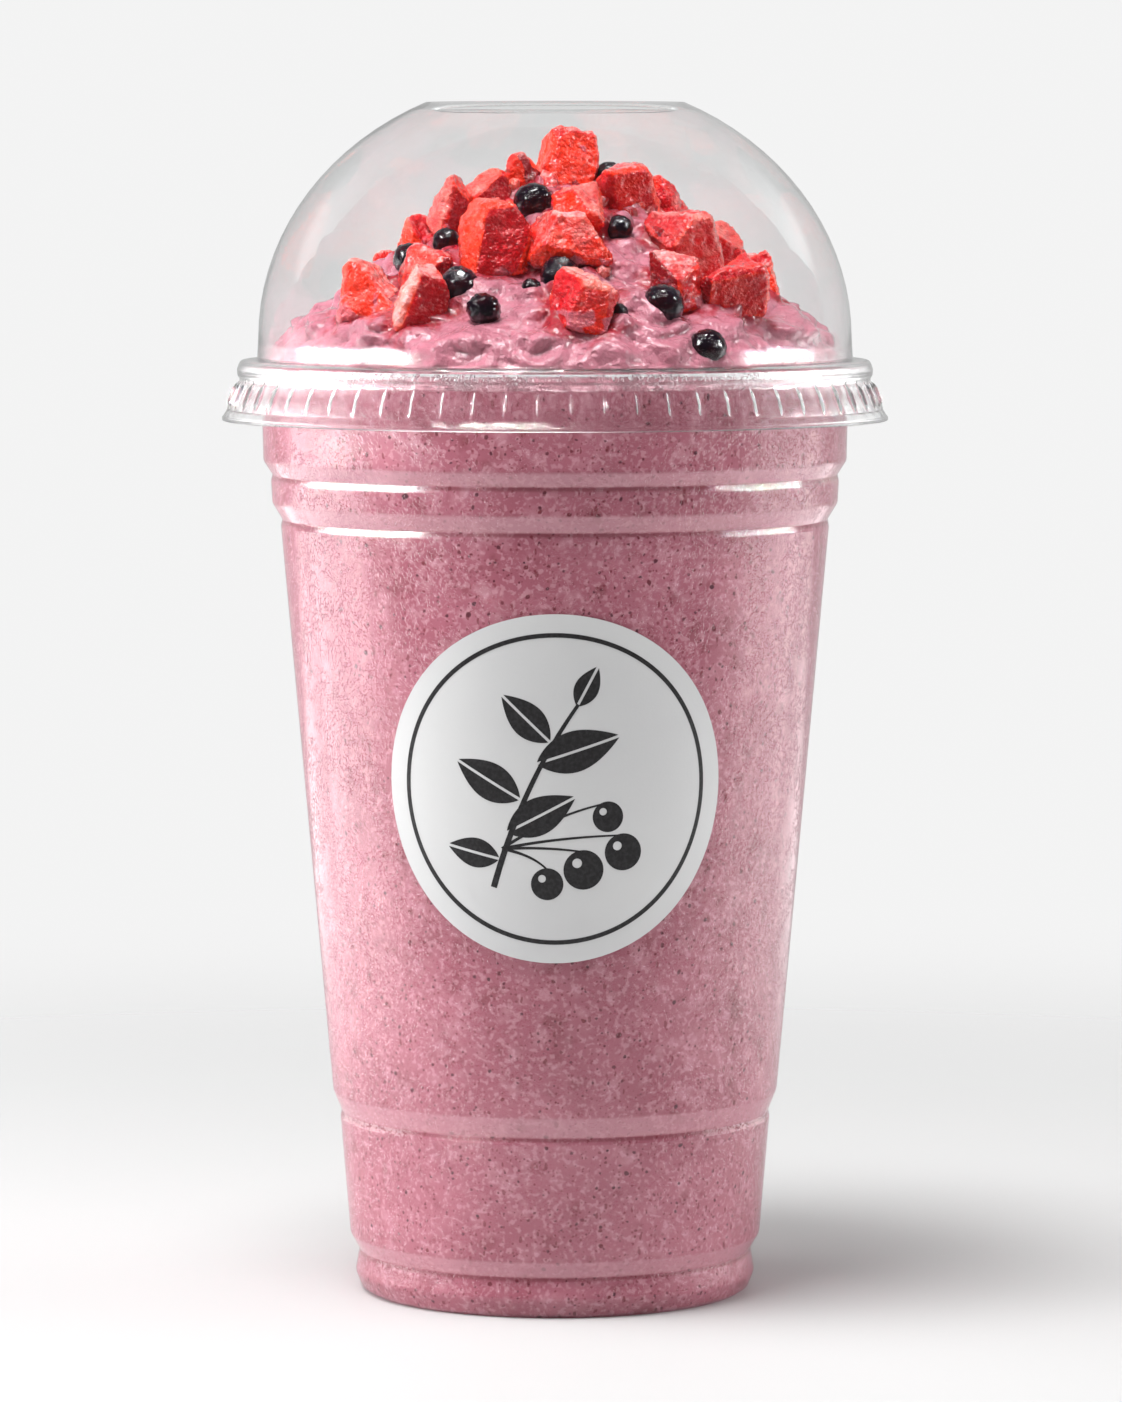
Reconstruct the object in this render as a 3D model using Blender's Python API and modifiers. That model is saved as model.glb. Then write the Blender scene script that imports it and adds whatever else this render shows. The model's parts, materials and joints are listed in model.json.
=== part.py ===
"""Berry smoothie in a clear plastic cup with a domed lid.

The cup stands on z = 0 with its axis on Z, and its round label faces -Y. The pink drink fills the
cup and rises as a heap inside the dome, where cut strawberries and small dark berries sit in it.
Lengths below are in millimetres and angles in degrees, and meshes are made in metres.
"""

import math
import random

import bmesh
import bpy
from mathutils import Matrix, Vector, noise
from mathutils.bvhtree import BVHTree

MM = 0.001
GAP = 0.3  # clearance between pieces that touch on the real object

# Cup
CUP_STEPS = 36
WALL = 0.5
# Outer wall, from the rim down: each band's top and bottom as (radius, height). A rounded ledge
# leads from one band's bottom to the next band's top, so that stacked cups don't jam.
BANDS = (
    ((46.55, 144.9), (46.25, 132.6)),
    ((45.05, 130.4), (44.85, 125.9)),
    ((43.5, 123.3), (35.45, 32.2)),
    ((34.3, 28.9), (32.75, 9.2)),
    ((31.5, 6.6), (31.9, 3.0)),
)
RIM_RADIUS = 49.0
RIM_TOP = 147.6
RIM_BEAD = 1.35
RIM_BEAD_ANGLES = (140, 80, 20, -40, -85)
FOOT_ROUNDING = ((31.2, 1.1), (30.3, 0.25))
STAND_OUTER = 29.8
STAND_INNER = 28.0
PUNT_RADIUS = 25.6
PUNT_HEIGHT = 2.2

# Lid
LID_STEPS = 48
LID_WALL = 0.45
DOME_RADIUS = 47.0
DOME_RISE = 41.3
DOME_SPRING = 151.95  # height at which the dome's wall is upright
DOME_ARC_OUTSIDE = 7
DOME_ARC_INSIDE = 5
DOME_FOOT_RADIUS = 47.2
LID_TOP = 189.15
HOLE_RADIUS = 18.7
HOLE_LIP = 1.4
FLANGE_TOP = 148.5
FLANGE_RADIUS = 50.4
FLANGE_ROUNDING = (0.9, 1.5)  # across and down
NECK_RADIUS = 50.0
NECK_HEIGHT = 145.6
SKIRT_TOP = 145.2
SKIRT_RADIUS = 51.9
SKIRT_FOOT = 141.2
SKIRT_LIP_RADIUS = 52.8
SKIRT_BOTTOM = 139.0
SKIRT_LIP_WIDTH = 0.5
RIB_COUNT = 64
RIB_WIDTH = 1.3
RIB_PROUD = 0.5
RIB_SUNK = 0.15

# Drink
SHOULDER = 144.8  # the drink follows the cup's wall up to this height
# The heap's smooth outline from the rim inwards, as (radius, height)
MOUND = (
    (45.4, 147.2),
    (44.6, 149.4),
    (43.0, 152.0),
    (40.8, 154.6),
    (36.5, 157.4),
    (31.5, 160.2),
    (25.5, 164.6),
    (19.0, 169.2),
    (12.5, 173.0),
    (6.0, 175.6),
)
MOUND_TOP = 176.6
LUMP_SIZE = 9.0
LUMP_DEPTH = 3.2
LUMP_FADE = 3.0  # height over which the lumps grow from nothing
SHARP_ANGLE = 50.0

# Label
LABEL_RADIUS = 27.2
LABEL_HEIGHT = 83.8
LABEL_THICKNESS = 0.3
LABEL_CORNERS = 36

# Toppings, as seen from the front: how far across and how high the middle of each piece is.
# Strawberry pieces: across, height, width seen, tall, share kept at the upper end, turn about Z
FRONT_STRAWBERRIES = (
    (2.4, 178.9, 11.2, 9.6, 0.7, 20),
    (-5.2, 177.0, 9.4, 8.0, 0.5, -25),
    (-10.6, 174.6, 8.8, 7.4, 0.85, 30),
    (-15.8, 171.8, 9.8, 9.2, 0.85, 40),
    (-9.0, 168.0, 11.8, 10.4, 0.85, 8),
    (4.0, 171.6, 9.4, 8.0, 0.85, -30),
    (1.6, 166.6, 13.8, 7.4, 0.9, 12),
    (10.6, 174.6, 10.4, 8.8, 0.9, 28),
    (17.0, 173.4, 7.0, 7.6, 0.85, -20),
    (19.8, 166.8, 12.0, 9.2, 0.85, 34),
    (26.4, 166.0, 7.2, 7.8, 0.9, 15),
    (18.4, 161.2, 8.6, 8.4, 0.9, -40),
    (26.6, 159.8, 12.4, 8.0, 0.92, 22),
    (31.2, 161.2, 7.4, 7.8, 0.85, 10),
    (4.4, 158.4, 10.6, 6.8, 0.98, -8),
    (-20.4, 158.8, 9.4, 9.6, 0.8, 24),
    (-28.2, 159.6, 10.4, 8.4, 0.75, -14),
    (-21.2, 168.0, 6.8, 6.2, 0.8, 44),
    (-19.4, 162.8, 8.6, 6.0, 0.85, 10),
)
# Round berries: across, height, diameter
FRONT_BERRIES = (
    (-3.2, 173.2, 6.7),
    (-16.8, 167.2, 4.8),
    (-22.6, 164.4, 6.0),
    (-15.2, 160.4, 6.5),
    (-10.8, 157.2, 5.6),
    (0.2, 162.8, 6.6),
    (10.0, 169.2, 4.6),
    (16.4, 157.8, 6.8),
    (9.8, 156.8, 2.8),
    (24.0, 151.0, 6.4),
    (8.4, 177.6, 4.6),
    (-2.8, 160.6, 3.2),
)
# The back, which is finished in the same way: rows as (radius on the heap, pieces in the row)
REAR_STRAWBERRY_ROWS = ((33.0, 5), (24.0, 4), (15.0, 3), (8.0, 1))
REAR_BERRY_ROWS = ((38.5, 3), (28.5, 3), (19.5, 1))
REAR_FROM = 18.0
REAR_TO = 162.0
REAR_JITTER = 0.18  # of a piece's share of its row
ROW_JITTER = 1.2
STRAWBERRY_SIZES = (7.6, 9.6)
BERRY_SIZES = (5.0, 6.8)
STRAWBERRY_LIFT = 0.18  # share of its height that a piece's middle stands above the heap
BERRY_LIFT = 0.12
SPREAD_ROUNDS = 60
FRONT_GIVE = 0.15  # how far front pieces give way, next to 1 for those at the back
STRAWBERRY_REACH = 0.42  # of its width, how near another piece may come to its middle
STRAWBERRY_MARGIN = 1.6  # corners reach this much further than half the width
CORNER_JITTER = 0.06
LEAN = 0.12
TILT = 16
BEVEL = 0.8
BERRY_SQUASH = 0.92
CROWN_DEPTH = 0.07
SEED = 11

COLOURS = {
    "clear_plastic": ((0.93, 0.95, 0.96), 0.06, 0.18),
    "lid_plastic": ((0.93, 0.95, 0.96), 0.06, 0.18),
    "smoothie": ((0.63, 0.24, 0.31), 0.35, 1.0),
    "label_paper": ((0.9, 0.9, 0.9), 0.5, 1.0),
    "strawberry": ((0.72, 0.03, 0.03), 0.25, 1.0),
    "dark_berry": ((0.03, 0.008, 0.018), 0.2, 1.0),
}


def clear_scene():
    for obj in list(bpy.data.objects):
        bpy.data.objects.remove(obj)


def make_material(name):
    colour, roughness, alpha = COLOURS[name]
    material = bpy.data.materials.new(name)
    material.use_nodes = True
    shader = material.node_tree.nodes["Principled BSDF"]
    shader.inputs["Base Color"].default_value = (*colour, 1.0)
    shader.inputs["Roughness"].default_value = roughness
    shader.inputs["Metallic"].default_value = 0.0
    shader.inputs["Alpha"].default_value = alpha
    return material


def make_collection(name):
    collection = bpy.data.collections.new(name)
    bpy.context.scene.collection.children.link(collection)
    return collection


def place(name, mesh, material, collection):
    obj = bpy.data.objects.new(name, mesh)
    if material is not None:
        mesh.materials.clear()
        mesh.materials.append(material)
    collection.objects.link(obj)
    return obj


def as_helper(obj):
    obj.hide_render = True
    obj.display_type = "WIRE"
    return obj


def turned(name, outline, steps, closed, material, collection):
    """A turned solid: the outline goes up its inner side and down its outer side."""
    mesh = bpy.data.meshes.new(name)
    points = [(radius * MM, 0.0, height * MM) for radius, height in outline]
    edges = [(i, i + 1) for i in range(len(points) - 1)]
    if closed:
        edges.append((len(points) - 1, 0))
    mesh.from_pydata(points, edges, [])
    obj = place(name, mesh, material, collection)
    screw = obj.modifiers.new("Turn", "SCREW")
    screw.steps = steps
    screw.render_steps = steps
    screw.use_merge_vertices = True
    screw.merge_threshold = 0.00005
    screw.use_smooth_shade = True
    return obj


def evaluated_mesh(obj):
    graph = bpy.context.evaluated_depsgraph_get()
    return bpy.data.meshes.new_from_object(obj.evaluated_get(graph))


def ledge(start, end):
    """The middle of the rounded shoulder from one band's foot to the next band's top."""
    (r0, z0), (r1, z1) = start, end
    half = math.sqrt(0.5)
    return (r1 + (r0 - r1) * half, z0 + (z1 - z0) * half)


def wall_outline(inset, rounded):
    """The cup's wall from under the rim to the foot, moved inwards by inset."""
    found = []
    for i, (top, bottom) in enumerate(BANDS):
        found += [top, bottom]
        if rounded and i + 1 < len(BANDS):
            found.append(ledge(bottom, BANDS[i + 1][0]))
    return [(radius - inset, height) for radius, height in found]


def rim_bead():
    """The rolled rim's outline, over the top from the inside to the outside."""
    middle = (RIM_RADIUS - RIM_BEAD, RIM_TOP - RIM_BEAD)
    return [
        (
            middle[0] + RIM_BEAD * math.cos(math.radians(a)),
            middle[1] + RIM_BEAD * math.sin(math.radians(a)),
        )
        for a in RIM_BEAD_ANGLES
    ]


def cup_outline():
    floor = PUNT_HEIGHT + WALL
    inside = [
        (0.0, floor),
        (PUNT_RADIUS, floor),
        (STAND_INNER - 0.2, WALL),
        (STAND_OUTER - 0.1, WALL),
    ]
    inside += list(reversed(wall_outline(WALL, False)))
    outside = wall_outline(0.0, True)
    foot = [
        *FOOT_ROUNDING,
        (STAND_OUTER, 0.0),
        (STAND_INNER, 0.0),
        (PUNT_RADIUS, PUNT_HEIGHT),
        (0.0, PUNT_HEIGHT),
    ]
    return inside + rim_bead() + outside + foot


def dome_arc(inset, points):
    """The dome's wall from its upright foot to the flat top, moved inwards by inset."""
    top = LID_TOP - inset
    last = math.asin((top - DOME_SPRING) / (DOME_RISE - inset))
    return [
        (
            (DOME_RADIUS - inset) * math.cos(last * i / points),
            DOME_SPRING + (DOME_RISE - inset) * math.sin(last * i / points),
        )
        for i in range(points + 1)
    ]


def lid_outline():
    w = LID_WALL
    inside = [
        (SKIRT_LIP_RADIUS - SKIRT_LIP_WIDTH, SKIRT_BOTTOM),
        (SKIRT_RADIUS - w, SKIRT_FOOT),
        (NECK_RADIUS - w, SKIRT_TOP),
        (NECK_RADIUS - w, NECK_HEIGHT + 0.6),
        (FLANGE_RADIUS - w - 0.6, FLANGE_TOP - w),
        (DOME_RADIUS - w, FLANGE_TOP - w),
    ]
    inside += dome_arc(w, DOME_ARC_INSIDE)
    lip = [
        (HOLE_RADIUS + w, LID_TOP - w),
        (HOLE_RADIUS + w, LID_TOP - HOLE_LIP),
        (HOLE_RADIUS, LID_TOP - HOLE_LIP),
        (HOLE_RADIUS, LID_TOP),
    ]
    outside = list(reversed(dome_arc(0.0, DOME_ARC_OUTSIDE)))
    outside += [
        (DOME_FOOT_RADIUS, FLANGE_TOP),
        (FLANGE_RADIUS - FLANGE_ROUNDING[0], FLANGE_TOP),
        (FLANGE_RADIUS, FLANGE_TOP - FLANGE_ROUNDING[1]),
        (FLANGE_RADIUS - 0.15, NECK_HEIGHT + 0.3),
        (NECK_RADIUS, NECK_HEIGHT),
        (NECK_RADIUS, SKIRT_TOP),
        (SKIRT_RADIUS, SKIRT_FOOT),
        (SKIRT_LIP_RADIUS, SKIRT_BOTTOM + SKIRT_LIP_WIDTH),
        (SKIRT_LIP_RADIUS, SKIRT_BOTTOM),
    ]
    return inside + lip + outside


def rib_mesh():
    """The ridges that stiffen the skirt, as wedges that stand out of it."""
    form = bmesh.new()
    slope = (SKIRT_RADIUS - NECK_RADIUS) / (SKIRT_TOP - SKIRT_FOOT)
    low, high = SKIRT_FOOT + 0.3, SKIRT_TOP - 0.1
    for i in range(RIB_COUNT):
        turn = Matrix.Rotation(math.tau * (i + 0.5) / RIB_COUNT, 4, "Z")
        wedge = bmesh.ops.create_cone(
            form, cap_ends=True, segments=3, radius1=1.0, radius2=1.0, depth=1.0
        )["verts"]
        for v in wedge:
            height = low if v.co.z < 0 else high
            skin = (NECK_RADIUS + slope * (SKIRT_TOP - height)) * math.cos(math.pi / LID_STEPS)
            if abs(v.co.x) < 0.1:
                spot = Vector((skin + RIB_PROUD, 0.0, height))
            else:
                side = math.copysign(RIB_WIDTH / 2, v.co.x)
                spot = Vector((skin - RIB_SUNK, side, height))
            v.co = turn @ (spot * MM)
    bmesh.ops.recalc_face_normals(form, faces=form.faces)
    mesh = bpy.data.meshes.new("skirt_ribs")
    form.to_mesh(mesh)
    form.free()
    return mesh


def make_lid(material, parts, helpers):
    lid = turned("dome_lid", lid_outline(), LID_STEPS, True, material, parts)
    ribs = as_helper(place("skirt_ribs", rib_mesh(), None, helpers))
    join = lid.modifiers.new("Ribs", "BOOLEAN")
    join.operation = "UNION"
    join.solver = "EXACT"
    join.object = ribs
    return lid


def wall_radius(height):
    """Radius of the cup's outside on the long middle band, which the label sticks to."""
    (r0, z0), (r1, z1) = BANDS[2]
    return r1 + (r0 - r1) * (height - z1) / (z0 - z1)


def wrapped(across, up):
    """Where a spot of the flat sticker lies once it is wrapped on the tapered wall."""
    (r0, z0), (r1, z1) = BANDS[2]
    lean = math.atan2(r0 - r1, z0 - z1)
    middle = (wall_radius(LABEL_HEIGHT) + GAP) / math.sin(lean)  # distance from the cone's tip
    slant = math.hypot(across, middle + up)
    angle = math.atan2(across, middle + up) / math.sin(lean)
    radius = slant * math.sin(lean)
    height = LABEL_HEIGHT + (slant - middle) * math.cos(lean)
    return Vector((radius * math.sin(angle), -radius * math.cos(angle), height))


def make_label(material, parts):
    """A round sticker, cut into upright strips that bend round the cup."""
    form = bmesh.new()
    bmesh.ops.create_circle(form, cap_ends=True, radius=LABEL_RADIUS, segments=LABEL_CORNERS)
    half = LABEL_CORNERS // 2
    for i in range(1, half):
        across = LABEL_RADIUS * math.cos(math.pi * i / half)
        bmesh.ops.bisect_plane(
            form,
            geom=form.verts[:] + form.edges[:] + form.faces[:],
            dist=0.001,
            plane_co=(across, 0, 0),
            plane_no=(1, 0, 0),
        )
    for v in form.verts:
        v.co = wrapped(v.co.x, v.co.y) * MM
    bmesh.ops.recalc_face_normals(form, faces=form.faces)
    mesh = bpy.data.meshes.new("label")
    form.to_mesh(mesh)
    form.free()
    if sum((face.normal.y for face in mesh.polygons)) > 0:
        mesh.flip_normals()
    label = place("label", mesh, material, parts)
    thicken = label.modifiers.new("Paper", "SOLIDIFY")
    thicken.thickness = LABEL_THICKNESS * MM
    thicken.offset = 1.0
    return label


def mound_height(radius):
    """Height of the heap's smooth surface at a distance from the axis."""
    profile = [*MOUND, (0.0, MOUND_TOP)]
    for (r0, z0), (r1, z1) in zip(profile, profile[1:]):
        if radius >= r1:
            share = (r0 - min(radius, r0)) / (r0 - r1)
            return z0 + (z1 - z0) * share
    return MOUND_TOP


def mound_radius(height):
    """Distance from the axis at which the heap's smooth surface has this height."""
    profile = [*MOUND, (0.0, MOUND_TOP)]
    for (r0, z0), (r1, z1) in zip(profile, profile[1:]):
        if height <= z1:
            return r0 + (r1 - r0) * max(0.0, height - z0) / (z1 - z0)
    return 0.0


def relief(spot):
    """How far the heap's lumps push the surface out at a spot, in millimetres."""
    near = noise.noise(spot / LUMP_SIZE)
    fine = noise.noise(spot / (LUMP_SIZE * 0.45) + Vector((7.1, 3.3, 1.7)))
    return LUMP_DEPTH * (near + 0.5 * fine)


def smoothie_outline():
    """The drink's outline, from the top of the heap down to the floor of the cup."""
    inset = WALL + GAP
    heap = [(0.0, MOUND_TOP), *reversed(MOUND)]
    side = wall_outline(inset, False)
    side[0] = (side[0][0], SHOULDER)
    floor = PUNT_HEIGHT + WALL + GAP
    foot = [
        (STAND_OUTER - 0.4, WALL + GAP),
        (STAND_INNER + 0.2, WALL + GAP),
        (PUNT_RADIUS + 0.3, floor),
        (0.0, floor),
    ]
    return heap + side + foot


class Topping:
    """One piece of fruit on the heap: where it sits, its size and its form."""

    def __init__(self, kind, number, x, y, size, tall, shape, front):
        self.name = f"{kind}_{number:02d}"
        self.kind = kind
        self.x = x
        self.y = y
        self.size = size
        self.tall = tall
        self.shape = shape
        self.front = front
        self.rise = tall * (BERRY_LIFT if kind == "berry" else STRAWBERRY_LIFT)
        self.chance = random.Random(self.name)

    def middle(self):
        reach = math.hypot(self.x, self.y)
        return Vector((self.x, self.y, mound_height(reach) + self.rise))

    def reach(self):
        return self.size * (0.5 if self.kind == "berry" else STRAWBERRY_REACH)

    def keep_inside(self):
        """Moves the piece in from the dome's wall, if it is too near."""
        limit = DOME_RADIUS - LID_WALL - 2 * GAP - self.size * 0.5
        if self.kind == "strawberry":
            limit -= STRAWBERRY_MARGIN
        reach = math.hypot(self.x, self.y)
        if reach > limit:
            self.x *= limit / reach
            self.y *= limit / reach

    def seat(self, height):
        """Puts the piece on the front of the heap with its middle at this height."""
        reach = max(mound_radius(height - self.rise), abs(self.x))
        self.y = -math.sqrt(max(0.0, reach * reach - self.x * self.x))
        self.keep_inside()
        self.rise += height - self.middle().z


def front_toppings():
    found = []
    for i, (across, height, width, tall, kept, turn) in enumerate(FRONT_STRAWBERRIES):
        angle = math.radians(abs(turn))
        size = width / (math.cos(angle) + 0.9 * math.sin(angle))
        piece = Topping("strawberry", i + 1, across, 0.0, size, tall, (kept, turn), True)
        piece.seat(height)
        found.append(piece)
    for i, (across, height, size) in enumerate(FRONT_BERRIES):
        piece = Topping("berry", i + 1, across, 0.0, size, size, None, True)
        piece.seat(height)
        found.append(piece)
    return found


def rear_toppings():
    chance = random.Random(SEED)
    found = []
    number = {"strawberry": len(FRONT_STRAWBERRIES), "berry": len(FRONT_BERRIES)}
    for kind, rows in (("strawberry", REAR_STRAWBERRY_ROWS), ("berry", REAR_BERRY_ROWS)):
        for radius, count in rows:
            for i in range(count):
                number[kind] += 1
                share = (i + 0.5 + chance.uniform(-REAR_JITTER, REAR_JITTER)) / count
                angle = math.radians(REAR_FROM + (REAR_TO - REAR_FROM) * share)
                reach = radius + chance.uniform(-ROW_JITTER, ROW_JITTER)
                x, y = reach * math.cos(angle), reach * math.sin(angle)
                if kind == "berry":
                    size = chance.uniform(*BERRY_SIZES)
                    found.append(Topping(kind, number[kind], x, y, size, size, None, False))
                else:
                    size = chance.uniform(*STRAWBERRY_SIZES)
                    shape = (chance.uniform(0.55, 0.95), chance.uniform(-45, 45))
                    tall = size * chance.uniform(0.8, 1.0)
                    found.append(Topping(kind, number[kind], x, y, size, tall, shape, False))
    return found


def spread(toppings):
    """Pushes pieces that crowd each other apart, along the heap."""
    for _ in range(SPREAD_ROUNDS):
        for i, a in enumerate(toppings):
            for b in toppings[i + 1 :]:
                apart = b.middle() - a.middle()
                crowd = a.reach() + b.reach() + GAP - apart.length
                if crowd <= 0:
                    continue
                push = Vector((apart.x, apart.y + 0.01)).normalized() * crowd * 0.25
                a_give = FRONT_GIVE if a.front else 1.0
                b_give = FRONT_GIVE if b.front else 1.0
                a.x -= push.x * a_give
                a.y -= push.y * a_give
                b.x += push.x * b_give
                b.y += push.y * b_give
        for piece in toppings:
            piece.keep_inside()


def hull_of(form):
    """The convex form round another one's corners."""
    hull = bmesh.new()
    for v in form.verts:
        hull.verts.new(v.co)
    bmesh.ops.convex_hull(hull, input=hull.verts)
    bmesh.ops.recalc_face_normals(hull, faces=hull.faces)
    return hull


def strawberry_form(piece):
    """A cut piece of strawberry: an uneven block that narrows upwards, with soft edges."""
    kept, turn = piece.shape
    chance = piece.chance
    form = bmesh.new()
    bmesh.ops.create_cube(form, size=1.0)
    deep = chance.uniform(0.82, 1.0)
    lean = Vector((chance.uniform(-LEAN, LEAN), chance.uniform(-LEAN, LEAN), 0.0))
    for v in form.verts:
        narrow = kept if v.co.z > 0 else 1.0
        jitter = Vector([chance.uniform(-CORNER_JITTER, CORNER_JITTER) for _ in range(3)])
        corner = Vector((v.co.x * narrow, v.co.y * narrow * deep, v.co.z))
        corner += lean * v.co.z + jitter
        v.co = Vector((corner.x * piece.size, corner.y * piece.size, corner.z * piece.tall))
    blank = hull_of(form)
    bmesh.ops.bevel(
        form,
        geom=form.edges[:],
        affect="EDGES",
        offset=BEVEL,
        segments=1,
        profile=0.5,
        material=-1,
    )
    tilt = Matrix.Rotation(math.radians(chance.uniform(-TILT, TILT)), 4, "X")
    tilt @= Matrix.Rotation(math.radians(chance.uniform(-TILT, TILT)), 4, "Y")
    return form, blank, Matrix.Rotation(math.radians(turn), 4, "Z") @ tilt


def berry_form(piece):
    """A round berry with the shallow pit of its crown."""
    chance = piece.chance
    form = bmesh.new()
    bmesh.ops.create_uvsphere(form, u_segments=7, v_segments=5, radius=piece.size / 2)
    blank = form.copy()
    for v in form.verts:
        v.co.z *= BERRY_SQUASH
        if v.co.z > piece.size * 0.42:
            v.co.z -= piece.size * CROWN_DEPTH
    tilt = Matrix.Rotation(math.radians(chance.uniform(20, 75)), 4, "X")
    return form, blank, Matrix.Rotation(math.radians(chance.uniform(-180, 180)), 4, "Z") @ tilt


def cut_flat(form, spot, normal):
    """Cuts away what lies beyond a plane, and closes the cut."""
    cut = bmesh.ops.bisect_plane(
        form,
        geom=form.verts[:] + form.edges[:] + form.faces[:],
        dist=0.0005,
        plane_co=spot,
        plane_no=normal,
        clear_outer=True,
    )
    edges = [e for e in cut["geom_cut"] if isinstance(e, bmesh.types.BMEdge)]
    if edges:
        bmesh.ops.holes_fill(form, edges=edges, sides=0)
        bmesh.ops.recalc_face_normals(form, faces=form.faces)


def trim_neighbours(toppings):
    """Flattens each piece where it presses on another, so that no two cross."""
    for i, a in enumerate(toppings):
        for b in toppings[i + 1 :]:
            between = b.middle() - a.middle()
            if between.length > (a.size + b.size) * 1.1:
                continue
            if not BVHTree.FromBMesh(a.form).overlap(BVHTree.FromBMesh(b.form)):
                continue
            way = between.normalized()
            if a.kind == b.kind:
                share = a.size / (a.size + b.size)
                spot = a.middle() + between * share
            elif a.kind == "berry":
                spot = a.middle() + way * a.size / 2
            else:
                spot = b.middle() - way * b.size / 2
            if a.kind == "strawberry" or b.kind == "berry":
                cut_flat(a.form, spot - way * GAP / 2, way)
            if b.kind == "strawberry" or a.kind == "berry":
                cut_flat(b.form, spot + way * GAP / 2, -way)


def pocket_mesh(piece):
    """The piece's blank grown by the clearance, which hollows its seat in the heap."""
    form = piece.blank
    form.normal_update()
    moves = [v.normal * GAP * min(v.calc_shell_factor(), 2.0) for v in form.verts]
    for v, move in zip(form.verts, moves):
        v.co += move
    return mesh_of(form, f"pocket_{piece.name}")


def mesh_of(form, name):
    """Ends a form given in millimetres as a mesh in metres."""
    bmesh.ops.triangulate(form, faces=form.faces)
    bmesh.ops.scale(form, vec=(MM, MM, MM), verts=form.verts)
    mesh = bpy.data.meshes.new(name)
    form.to_mesh(mesh)
    form.free()
    return mesh


def make_toppings(materials, parts, helpers):
    toppings = front_toppings() + rear_toppings()
    spread(toppings)
    for piece in toppings:
        make = berry_form if piece.kind == "berry" else strawberry_form
        piece.form, piece.blank, turn = make(piece)
        for form in (piece.form, piece.blank):
            form.transform(Matrix.Translation(piece.middle()) @ turn)
    trim_neighbours(toppings)
    for piece in toppings:
        as_helper(place(f"pocket_{piece.name}", pocket_mesh(piece), None, helpers))
        mesh = mesh_of(piece.form, piece.name)
        if piece.kind == "berry":
            mesh.shade_smooth()
        place(piece.name, mesh, materials[piece.kind], parts)


def keep_largest(mesh):
    """Drops scraps of drink that the pockets cut free."""
    form = bmesh.new()
    form.from_mesh(mesh)
    left = set(form.verts)
    groups = []
    while left:
        group, edge = set(), [left.pop()]
        while edge:
            v = edge.pop()
            group.add(v)
            for e in v.link_edges:
                other = e.other_vert(v)
                if other in left:
                    left.remove(other)
                    edge.append(other)
        groups.append(group)
    groups.sort(key=len)
    scraps = [v for group in groups[:-1] for v in group]
    if scraps:
        bmesh.ops.delete(form, geom=scraps, context="VERTS")
    form.to_mesh(mesh)
    form.free()


def make_smoothie(material, parts, pockets):
    blank = turned("smoothie_blank", smoothie_outline(), CUP_STEPS, False, None, pockets)
    mesh = evaluated_mesh(blank)
    bpy.data.objects.remove(blank)
    start = MOUND[1][1]
    for v in mesh.vertices:
        spot = v.co / MM
        if spot.z > start:
            out = Vector((spot.x, spot.y, MOUND[-2][0])).normalized()
            fade = min(1.0, (spot.z - start) / LUMP_FADE)
            v.co += out * relief(spot) * fade * MM
    smoothie = place("smoothie", mesh, material, parts)
    hollow = smoothie.modifiers.new("Pockets", "BOOLEAN")
    hollow.operation = "DIFFERENCE"
    hollow.solver = "EXACT"
    hollow.operand_type = "COLLECTION"
    hollow.collection = pockets
    cut = evaluated_mesh(smoothie)
    smoothie.modifiers.clear()
    keep_largest(cut)
    cut.set_sharp_from_angle(angle=math.radians(SHARP_ANGLE))
    smoothie.data = cut


def main():
    clear_scene()
    parts = make_collection("berry_smoothie")
    helpers = make_collection("helpers")
    pockets = make_collection("pockets")
    materials = {name: make_material(name) for name in COLOURS}
    turned("cup", cup_outline(), CUP_STEPS, False, materials["clear_plastic"], parts)
    make_lid(materials["lid_plastic"], parts, helpers)
    make_label(materials["label_paper"], parts)
    fruit = {"strawberry": materials["strawberry"], "berry": materials["dark_berry"]}
    make_toppings(fruit, parts, pockets)
    make_smoothie(materials["smoothie"], parts, pockets)


main()
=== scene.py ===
"""Berry smoothie in a clear takeaway cup with a dome lid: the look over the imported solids."""

import json
import math
import random

import bmesh
import bpy
from bpy.props import FloatProperty, FloatVectorProperty, IntProperty, PointerProperty
from mathutils import Matrix, Vector, noise
from mathutils.bvhtree import BVHTree

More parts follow.
